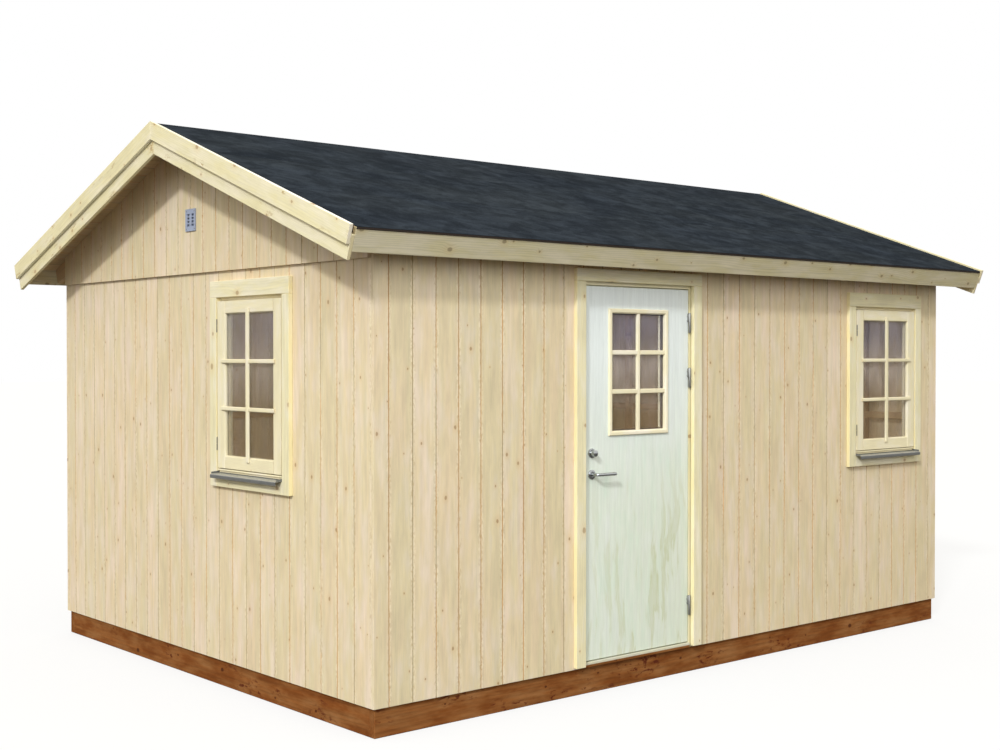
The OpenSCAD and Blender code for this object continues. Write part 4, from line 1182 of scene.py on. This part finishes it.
def build_window_hinges(name, put, sash):
    """Two slim lift-off hinges in the joint at the sash's left edge."""
    half, low, high, near = sash[:4]
    axis = put((0, 0, 1)) - put((0, 0, 0))
    r, tall, dome, pitch = 0.0026, 0.0357, 0.0012, 0.0365
    out, aside, foot_up, head_down = 0.003, 0.0015, 0.10, 0.17
    barrel = [(0, 0), (0, r * 0.6), (dome, r), (tall - dome, r), (tall, r * 0.6), (tall, 0)]
    maker = Maker(name + "_window_fittings")
    for z in (low + foot_up, high - head_down):
        for step in (0.0, pitch):
            maker.lathe(barrel, put((-half - aside, near - out, z + step)), axis, 20)
    maker.piece(name + "_window_fittings", "shed", "steel", ["window_hinge"])


# Door


def build_door():
    dress("door_frame", "door_wood", "door_frame", arris=0.0015)
    build_threshold()
    leaf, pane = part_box("door_leaf"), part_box("door_glass")
    build_leaf(leaf, pane)
    build_door_beads(leaf, pane)
    build_door_glass(pane)


def build_threshold():
    """Planed threshold on a packing strip of treated timber, both notched round the door frame's stops."""
    packing = sizes().packing
    verts, faces = solids("door_threshold")[0]
    low, high = min(v.z for v in verts), max(v.z for v in verts)
    split = low + packing
    for name, slot, look, z0, z1, nodes in (
            ("door_threshold_timber", "door_wood", "threshold", split + HAIR, high, ["door_threshold"]),
            ("door_threshold_packing", "treated_timber", "treated", low, split, [])):
        maker = Maker(name)
        points = [Vector((v.x, v.y, z0 if v.z < (low + high) / 2 else z1)) for v in verts]
        maker.solid(points, faces, X, -Y, 0.0015)
        maker.piece(name, "shed", slot, [look], *nodes)


def build_leaf(leaf, pane):
    """Flush leaf with rounded edges, cut through for the glass."""
    (low, high), (pane_low, pane_high) = leaf, pane
    xs = (low.x, pane_low.x, pane_high.x, high.x)
    zs = (low.z, pane_low.z, pane_high.z, high.z)
    verts, faces, index = [], [], {}
    for y in (low.y, high.y):
        for i, j in itertools.product(range(4), range(4)):
            index[(y, i, j)] = len(verts)
            verts.append(Vector((xs[i], y, zs[j])))
    for y in (low.y, high.y):
        for i, j in itertools.product(range(3), range(3)):
            if (i, j) != (1, 1):
                faces.append([index[(y, *c)] for c in ((i, j), (i + 1, j), (i + 1, j + 1), (i, j + 1))])
    rim = [(i, 0) for i in range(4)] + [(3, j) for j in range(1, 4)]
    rim += [(i, 3) for i in (2, 1, 0)] + [(0, j) for j in (2, 1)]
    hole = [(1, 1), (2, 1), (2, 2), (1, 2)]
    for loop in (rim, hole):
        for a, b in zip(loop, loop[1:] + loop[:1]):
            faces.append([index[(low.y, *a)], index[(low.y, *b)], index[(high.y, *b)], index[(high.y, *a)]])
    foot = Vector(((low.x + high.x) / 2, low.y, low.z))
    plain = (0.5, Vector((0.0, 0.02, 0.0)))
    maker = Maker("door_leaf")
    maker.solid(verts, faces, Z, -Y, 0.002, 2, key=plain, origin=foot)
    maker.piece("door_leaf_panel", "door", "door_wood", ["door_paint"], "door_leaf")


def mitred_ring(maker, outline, rect, face, way):
    """Four mouldings round a rectangle in the XZ plane, mitred at its corners.

    The outline is (inwards, proud of the face).
    """
    x0, x1, z0, z1 = rect
    corners = [(x0, z0, 1, 1), (x1, z0, -1, 1), (x1, z1, -1, -1), (x0, z1, 1, -1)]
    n = len(outline)
    for k in range(4):
        verts = []
        for x, z, sx, sz in (corners[k], corners[(k + 1) % 4]):
            verts += [Vector((x + sx * a, face + way * b, z + sz * a)) for a, b in outline]
        along = (verts[n] - verts[0]).normalized()
        maker.solid(verts, prism_faces(n), along, Y * way, 0.0008)


def build_door_beads(leaf, pane):
    """Four mitred mouldings on each face of the leaf, and bars across the outer glass."""
    s = sizes()
    (low, high), (pane_low, pane_high) = leaf, pane
    bead_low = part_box("door_bead")[0]
    lap, proud = pane_low.x - bead_low.x, low.y - bead_low.y
    inwards, play = 0.006, 0.0003
    outer_round, inner_slope, inner_drop, bar_bevel = 0.004, 0.007, 0.006, 0.003
    rect = (pane_low.x, pane_high.x, pane_low.z, pane_high.z)
    light = (rect[0] + inwards, rect[1] - inwards, rect[2] + inwards, rect[3] - inwards)
    bars = (s.door_bar / 2, s.door_cross_bar / 2)
    maker = Maker("door_bead")
    for face, glass, way in ((low.y, pane_low.y, -1), (high.y, pane_high.y, 1)):
        sunk = -abs(face - glass) + HAIR
        outline = [
            (-lap, 0.0), (-lap, proud - outer_round), (-lap + outer_round, proud),
            (inwards - inner_slope, proud), (inwards, proud - inner_drop), (inwards, sunk),
            (play, sunk), (play, 0.0)]
        mitred_ring(maker, outline, rect, face, way)
        if way < 0:
            bar_face = face + way * (proud - inner_drop)
            glazing_bars(maker, Vector, light, -HAIR, bars, glass + way * HAIR, bar_face, bar_bevel)
    maker.piece("door_bead_mouldings", "door", "door_wood", ["bead"], "door_bead")


def build_door_glass(pane):
    """Sealed unit: two panes and the spacer between their edges."""
    t, slip, seat, bar = 0.004, 0.0004, 0.0001, 0.012
    inset = Vector((slip, 0, slip))
    low, high = pane[0] + inset, pane[1] - inset
    near, far = low.y + t + seat, high.y - t - seat
    maker = Maker("door_glass")
    maker.box((low.x, low.y, low.z), (high.x, low.y + t, high.z), arris=0.0004)
    maker.box((low.x, high.y - t, low.z), (high.x, high.y, high.z), arris=0.0004)
    for x0, x1, z0, z1 in (
            (low.x, high.x, low.z, low.z + bar), (low.x, high.x, high.z - bar, high.z),
            (low.x, low.x + bar, low.z + bar, high.z - bar),
            (high.x - bar, high.x, low.z + bar, high.z - bar)):
        maker.box((x0, near, z0), (x1, far, z1), arris=0.0005, slots=1)
    maker.piece("door_glass_unit", "door", "glass", ["door_glass", "spacer"], "door_glass")


# Fittings of the door

# Radius of the lever's shaft, and of the lock's cylinder
SHAFT_R = 0.009
CYLINDER_R = 0.017


def build_fittings():
    """Lever, roses, lock and hinges in satin steel."""
    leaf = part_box("door_leaf")
    low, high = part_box("lever_roses")
    rose_r, rose_t = (high.x - low.x) / 2, leaf[0].y - low.y
    build_roses(leaf, (low + high) / 2, rose_r, rose_t)
    build_lever(leaf, (low + high) / 2)
    build_lock(leaf, (low.x + high.x) / 2, rose_r, rose_t)
    build_hinges()


def build_roses(leaf, middle, r, t):
    """A turned rose on each face of the leaf, open for the shaft."""
    bore = SHAFT_R + 0.0008
    profile = [
        (0.0, bore), (0.0, r), (t - 0.003, r), (t - 0.0012, r - 0.0012), (t, r - 0.004), (t, SHAFT_R + 0.005),
        (t - 0.0015, SHAFT_R + 0.0035), (t - 0.0015, bore), (0.0, bore)]
    maker = Maker("lever_roses")
    for y, way in ((leaf[0].y, -Y), (leaf[1].y, Y)):
        maker.lathe(profile, Vector((middle.x, y, middle.z)), way, 40)
    maker.piece("lever_roses_turned", "door", "steel", ["steel"], "lever_roses")


def build_lever(leaf, middle):
    """A round shaft that bends into the grip on each face, thicker towards its rounded tip."""
    low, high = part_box("door_lever")
    bar_r = (high.z - low.z) / 2
    bend, tip, sunk, clear = 0.019, 0.006, 0.012, 0.002
    bend_steps, tip_steps = 8, 6
    neck, full = 0.94, 1.08
    grip = high.x - tip
    maker = Maker("door_lever")
    for y, root, way in ((low.y + bar_r, leaf[0].y, -1), (high.y - bar_r, leaf[1].y, 1)):
        at = lambda x, y: Vector((x, y, middle.z))
        shaft = (root - way * sunk, root + way * clear, y - way * bend)
        path = [at(middle.x, depth) for depth in shaft]
        radii = [SHAFT_R * neck] * 3
        for k in range(1, bend_steps):
            a = math.pi / 2 * k / bend_steps
            path.append(at(middle.x + bend * (1 - math.cos(a)), y - way * bend * (1 - math.sin(a))))
            radii.append(SHAFT_R * (0.95 + 0.006 * (k - 1)))
        start = at(middle.x + bend, y)
        path.append(start)
        radii.append(SHAFT_R)
        for share, r in ((0.25, 1.02), (0.5, 1.06), (0.8, full), (1.0, full)):
            path.append(start.lerp(at(grip, y), share))
            radii.append(SHAFT_R * r)
        for k in range(1, tip_steps + 1):
            a = math.pi / 2 * k / tip_steps
            path.append(at(grip + tip * math.sin(a), y))
            radii.append(max(0.0006, SHAFT_R * full - tip + tip * math.cos(a)))
        maker.tube(path, radii, 24)
    maker.piece("door_lever_bent", "lever", "steel", ["steel"], "door_lever")


def build_lock(leaf, x, r, t):
    """Rose and cylinder with a keyway outside, and a thumb turn inside."""
    low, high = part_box("door_lock")
    z = (low.z + high.z) / 2
    outer, inner = leaf[0].y, leaf[1].y
    out = outer - low.y
    rose = [(0.0, 0.0), (0.0, r), (t - 0.003, r), (t - 0.001, r - 0.001), (t, r - 0.004)]
    cylinder = [
        (t, CYLINDER_R + 0.002), (t - 0.001, CYLINDER_R + 0.001), (t - 0.001, CYLINDER_R),
        (out - 0.0015, CYLINDER_R), (out - 0.0003, CYLINDER_R - 0.0015), (out - 0.0003, 0.008), (out, 0.0075),
        (out, 0.0)]
    maker = Maker("door_lock")
    maker.lathe(rose + cylinder, Vector((x, outer, z)), -Y, 40)
    # The keyway is a dark box, painted shade in the slot
    key_half, key_down, key_up = 0.0009, 0.0055, 0.004
    key_low = (x - key_half, outer - out - 0.0003, z - key_down)
    key_high = (x + key_half, outer - out + 0.001, z + key_up)
    maker.box(key_low, key_high, arris=0.0002, slots=1)
    maker.lathe(rose + [(t, 0.0)], Vector((x, inner, z)), Y, 40)
    collar = [(0.0, 0.0), (0.0, 0.009), (0.005, 0.008), (0.005, 0.0)]
    maker.lathe(collar, Vector((x, inner + t - 0.0005, z)), Y, 24)
    turn_half = 0.0045
    maker.box((x - turn_half, inner + t + 0.003, z - CYLINDER_R), (x + turn_half, high.y, z + CYLINDER_R),
              arris=0.002)
    maker.piece("door_lock_turned", "door", "steel", ["steel", "void_painted_shade"], "door_lock")


def build_hinges():
    """Lift-off hinges: two knuckles with a ring between them, finials, and stems let into leaf and frame."""
    x, y = frame["joints"][0]["pos_m"][:2]
    r, play, tall = 0.007, 0.001, 0.115
    half = tall / 2
    dome, neck, point = 0.003, 0.0055, 0.0035
    knuckle = [(0.0, 0.0), (0.0, point), (0.0012, neck), (dome, r), (half - play - 0.001, r),
               (half - play, r - 0.001), (half - play, 0.0)]
    cap = [(0.0, 0.0), (0.0, r - 0.001), (0.001, r), (half - dome, r), (half - 0.0012, neck), (half, point),
           (half, 0.0)]
    ring = [(0.0, 0.0), (0.0, r - 0.0012), (play * 0.9, r - 0.0012), (play * 0.9, 0.0)]
    stem = [(0.0, 0.0), (0.0, 0.0035), (0.013, 0.0035), (0.013, 0.0)]
    stem_in, stem_back, lean = 0.003, 0.002, Y * 0.7
    wing_near, wing_far, wing_front, wing_back, wing_end = 0.002, 0.012, 0.0005, 0.009, 0.004
    lower, upper = Maker("hinge_frame_halves"), Maker("hinge_leaf_halves")
    for z in sorted(min(v.z for v in verts) for verts, _ in solids("hinge_frame_halves")):
        lower.lathe(knuckle, Vector((x, y, z)), Z, 28)
        lower.lathe(ring, Vector((x, y, z + half - play)), Z, 28)
        upper.lathe(cap, Vector((x, y, z + half)), Z, 28)
        for up in (0.012, 0.036):
            lower.lathe(stem, Vector((x + stem_in, y + stem_back, z + up)), X + lean, 12)
            upper.lathe(stem, Vector((x - stem_in, y + stem_back, z + half + up)), lean - X, 12)
        lower.box((x + wing_near, y + wing_front, z + wing_end),
                  (x + wing_far, y + wing_back, z + half - play - wing_end), arris=0.001)
        upper.box((x - wing_far, y + wing_front, z + half + wing_end),
                  (x - wing_near, y + wing_back, z + tall - wing_end), arris=0.001)
    lower.piece("hinge_frame_knuckles", "shed", "steel", ["hinge"], "hinge_frame_halves")
    upper.piece("hinge_leaf_knuckles", "door", "steel", ["hinge"], "hinge_leaf_halves")


# Vents


def build_vents():
    """Moulded plates with a raised rim, and two columns of louvred slots whose blades and the box behind them
    are painted shade.
    """
    low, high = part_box("gable_vents")
    half, middle, half_h = (high.y - low.y) / 2, (low.z + high.z) / 2, (high.z - low.z) / 2
    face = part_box("right_gable")[1].x
    t, slot_w, slot_h, gap, apart, rows = 0.007, 0.027, 0.012, 0.007, 0.022, 4
    rim, rim_sunk, rim_proud = 0.004, 0.0005, 0.0012
    hollow, hollow_front, hollow_back = 0.016, -0.0155, -0.0165
    screw_y, screw_z = half - 0.011, half_h - 0.012
    screw = [(0, 0), (0, 0.0042), (0.0012, 0.0036), (0.0018, 0.002), (0.0018, 0.0)]
    step = slot_h + gap
    first = (gap - rows * step) / 2
    near, far = apart / 2, apart / 2 + slot_w
    maker = Maker("gable_vents")
    for side in (-1, 1):
        put = lambda v: Vector((side * (face + v[0]), v[1], middle + v[2]))
        block = lambda y0, y1, z0, z1: maker.box((0.0, y0, z0), (t, y1, z1), put, face=X, arris=0.0012)
        # Plate above, below, beside and between the columns of slots, then the bars and blades of each column
        block(-half, half, -first, half_h)
        block(-half, half, -half_h, first)
        block(-half, -far, first, -first)
        block(far, half, first, -first)
        block(-near, near, first, -first)
        for y0, y1 in ((-far, -near), (near, far)):
            for k in range(rows - 1):
                z = first + k * step + slot_h
                block(y0, y1, z, z + gap)
            for k in range(rows):
                foot = first + k * step + 0.001
                head = first + k * step + slot_h - 0.0005
                # Blades in the dark look, painted shade in the slots
                blade = [(-0.0035, head), (-0.0018, head), (0.0022, foot), (0.0005, foot)]
                maker.prism(blade, y0 + HAIR, y1 - HAIR, lambda x, z, y: put((x, y, z)), 0.0003, slots=1)
        for y0, y1, z0, z1 in (
                (-half, half, half_h - rim, half_h), (-half, half, -half_h, rim - half_h),
                (-half, rim - half, rim - half_h, half_h - rim),
                (half - rim, half, rim - half_h, half_h - rim)):
            maker.box((t - rim_sunk, y0, z0), (t + rim_proud, y1, z1), put, face=X, arris=0.0005)
        # A dark box behind the slots stands in for the shade inside the wall: painted shade
        maker.box(
            (hollow_back, hollow - half, hollow - half_h), (hollow_front, half - hollow, half_h - hollow),
            put, face=X, arris=0.0002, slots=1)
        for y, z in itertools.product((-screw_y, screw_y), (-screw_z, screw_z)):
            maker.lathe(screw, put((t, y, z)), side * X, 14, slots=2)
    maker.piece("gable_vents_moulded", "shed", "vent_plastic", ["vent", "void_painted_shade", "steel"], "gable_vents")


# Stage

FLOOR_REACH, FLOOR_DROP = 90.0, -0.0015
# Share of its own light in the floor that the camera sees, and the dim floor that lights the shed from below
FLOOR_GLOW = 0.78
FLOOR_DIM = (0.10, 0.098, 0.095)
WHITE = (1.0, 1.0, 1.0)
CAMERA_PLACE = (-6.2517, -7.1733, 1.8216)
CAMERA_TURN = (math.radians(90.0 - 0.766), 0.0, math.radians(49.4085 - 90.0))


def build_stage():
    scene = bpy.context.scene
    scene.view_settings.view_transform = "Standard"
    build_studio_floor()
    build_world()
    build_lamps()
    camera = bpy.data.cameras.new("camera")
    camera.lens = 50.70
    camera.sensor_width = 36.0
    camera.sensor_fit = "HORIZONTAL"
    camera.clip_end = 400.0
    view = bpy.data.objects.new("camera", camera)
    view.location = CAMERA_PLACE
    view.rotation_euler = CAMERA_TURN
    scene.collection.objects.link(view)
    scene.camera = view


def build_studio_floor():
    """Floor that the camera sees as white outside the shadow."""
    stage = bpy.context.scene.shed_stage
    mesh = bpy.data.meshes.new("floor")
    corners = ((-1, -1), (1, -1), (1, 1), (-1, 1))
    mesh.from_pydata([(x * FLOOR_REACH, y * FLOOR_REACH, FLOOR_DROP) for x, y in corners], [], [(0, 1, 2, 3)])
    look = bpy.data.materials.new("studio_floor")
    look.use_nodes = True
    look.node_tree.nodes.clear()
    n = Nodes(look.node_tree)
    matt = lambda colour: n.put("ShaderNodeBsdfPrincipled", {
        "Base Color": colour, "Roughness": 0.9, "Specular IOR Level": 0.0}).outputs[0]
    shade, dim = matt(tuple(stage.floor)), matt(FLOOR_DIM)
    glow = n.put("ShaderNodeEmission", {"Color": WHITE, "Strength": 1.0}).outputs[0]
    path = n.put("ShaderNodeLightPath").outputs
    seen = n.math("MAXIMUM", path["Is Camera Ray"], path["Is Transmission Ray"])
    pale = n.put("ShaderNodeMixShader", {0: FLOOR_GLOW, 1: shade, 2: glow}).outputs[0]
    both = n.put("ShaderNodeMixShader", {0: seen, 1: dim, 2: pale}).outputs[0]
    n.feed(n.put("ShaderNodeOutputMaterial").inputs["Surface"], both)
    mesh.materials.append(look)
    floor = bpy.data.objects.new("floor", mesh)
    bpy.context.scene.collection.objects.link(floor)


def build_world():
    """Even light from all round, and white behind the object."""
    world = bpy.data.worlds.new("studio")
    bpy.context.scene.world = world
    world.use_nodes = True
    world.node_tree.nodes.clear()
    n = Nodes(world.node_tree)
    path = n.put("ShaderNodeLightPath").outputs
    seen = n.math("MAXIMUM", path["Is Camera Ray"], path["Is Glossy Ray"])
    seen = n.math("MAXIMUM", seen, path["Is Transmission Ray"])
    sky = {"Color": (1.0, 0.96, 0.86), "Strength": bpy.context.scene.shed_stage.sky}
    even = n.put("ShaderNodeBackground", sky).outputs[0]
    white = n.put("ShaderNodeBackground", {"Color": WHITE, "Strength": 1.0}).outputs[0]
    both = n.put("ShaderNodeMixShader", {0: seen, 1: even, 2: white}).outputs[0]
    n.feed(n.put("ShaderNodeOutputWorld").inputs["Surface"], both)


def add_lamp(name, kind, energy, colour, place, travel=None, **settings):
    lamp = bpy.data.lights.new(name, kind)
    lamp.energy = energy
    lamp.color = colour
    for setting, value in settings.items():
        setattr(lamp, setting, value)
    holder = bpy.data.objects.new(name, lamp)
    holder.location = place
    if travel:
        holder.rotation_euler = travel.to_track_quat("-Z", "Y").to_euler()
    bpy.context.scene.collection.objects.link(holder)
    return holder


def build_lamps():
    """Key light from the window gable, a broad cool light before the near corner, and one in the room."""
    stage = bpy.context.scene.shed_stage
    travel = Vector((1.0, 0.56, -0.73))
    add_lamp("key", "SUN", stage.sun, (0.97, 1.0, 1.0), -6.0 * travel, travel, angle=math.radians(5.5))
    travel = Vector((3.2, 4.6, -2.9))
    door_side = Vector((-1.6, -1.74, 1.2))
    add_lamp(
        "fill", "AREA", stage.fill, (0.82, 0.90, 1.0), door_side - travel, travel, shape="DISK", size=4.0)
    room = add_lamp("room", "POINT", stage.room, (0.78, 0.91, 1.0), (-0.8, -0.8, 1.7), shadow_soft_size=0.4)
    room.visible_camera = False


# Add-on


class ShedStep(Operator):
    """Base of the building steps"""
    bl_options = {"REGISTER", "UNDO"}
    step = None

    def execute(self, context):
        type(self).step()
        return {"FINISHED"}


class SHED_OT_finishes(ShedStep):
    """Makes the materials of timber, felt, glass, metal and plastic"""
    bl_idname = "shed.finishes"
    bl_label = "Finishes"
    step = staticmethod(make_finishes)


class SHED_OT_foundation(ShedStep):
    """Dresses the foundation beams and floor joists"""
    bl_idname = "shed.foundation"
    bl_label = "Foundation"
    step = staticmethod(build_foundation)


class SHED_OT_frames(ShedStep):
    """Dresses the wall frames, the ridge beam and the rafters"""
    bl_idname = "shed.frames"
    bl_label = "Frames"
    step = staticmethod(build_frames)


class SHED_OT_floor(ShedStep):
    """Lays the floor boards"""
    bl_idname = "shed.floor"
    bl_label = "Floor"
    step = staticmethod(build_floor)


class SHED_OT_cladding(ShedStep):
    """Clads the walls and gables with upright boards"""
    bl_idname = "shed.cladding"
    bl_label = "Cladding"
    step = staticmethod(build_cladding)


class SHED_OT_roof(ShedStep):
    """Lays the roof boards and the felt"""
    bl_idname = "shed.roof"
    bl_label = "Roof"
    step = staticmethod(build_roof)


class SHED_OT_trim(ShedStep):
    """Dresses fascias, verge boards and casings"""
    bl_idname = "shed.trim"
    bl_label = "Trim"
    step = staticmethod(build_trim)


class SHED_OT_windows(ShedStep):
    """Builds the windows with bars, sills and hinges"""
    bl_idname = "shed.windows"
    bl_label = "Windows"
    step = staticmethod(build_windows)


class SHED_OT_door(ShedStep):
    """Builds the door leaf, its frame and its light"""
    bl_idname = "shed.door"
    bl_label = "Door"
    step = staticmethod(build_door)


class SHED_OT_fittings(ShedStep):
    """Builds the door's lever, lock and hinges"""
    bl_idname = "shed.fittings"
    bl_label = "Door fittings"
    step = staticmethod(build_fittings)


class SHED_OT_vents(ShedStep):
    """Builds the gable vents"""
    bl_idname = "shed.vents"
    bl_label = "Vents"
    step = staticmethod(build_vents)


class SHED_OT_stage(ShedStep):
    """Sets up the floor, the light and the camera"""
    bl_idname = "shed.stage"
    bl_label = "Stage"
    step = staticmethod(build_stage)


STEPS = (
    SHED_OT_finishes, SHED_OT_foundation, SHED_OT_frames, SHED_OT_floor, SHED_OT_cladding, SHED_OT_roof,
    SHED_OT_trim, SHED_OT_windows, SHED_OT_door, SHED_OT_fittings, SHED_OT_vents, SHED_OT_stage)


class SHED_PT_panel(Panel):
    """Lists the building steps with their sizes and colours"""
    bl_label = "Garden shed"
    bl_idname = "SHED_PT_panel"
    bl_space_type = "VIEW_3D"
    bl_region_type = "UI"
    bl_category = "Shed"

    def draw(self, context):
        for step in STEPS:
            self.layout.operator(step.bl_idname)
        for group in (context.scene.shed_sizes, context.scene.shed_colours, context.scene.shed_stage):
            for name in group.__annotations__:
                self.layout.prop(group, name)


GROUPS = {"shed_sizes": ShedSizes, "shed_colours": ShedColours, "shed_stage": ShedStage}


def register():
    for cls in (*GROUPS.values(), *STEPS, SHED_PT_panel):
        bpy.utils.register_class(cls)
    for name, group in GROUPS.items():
        setattr(bpy.types.Scene, name, PointerProperty(type=group))


def unregister():
    for name in GROUPS:
        delattr(bpy.types.Scene, name)
    for cls in reversed((*GROUPS.values(), *STEPS, SHED_PT_panel)):
        bpy.utils.unregister_class(cls)


def main():
    register()
    for step in STEPS:
        group, name = step.bl_idname.split(".")
        getattr(getattr(bpy.ops, group), name)()


if __name__ == "__main__":
    main()
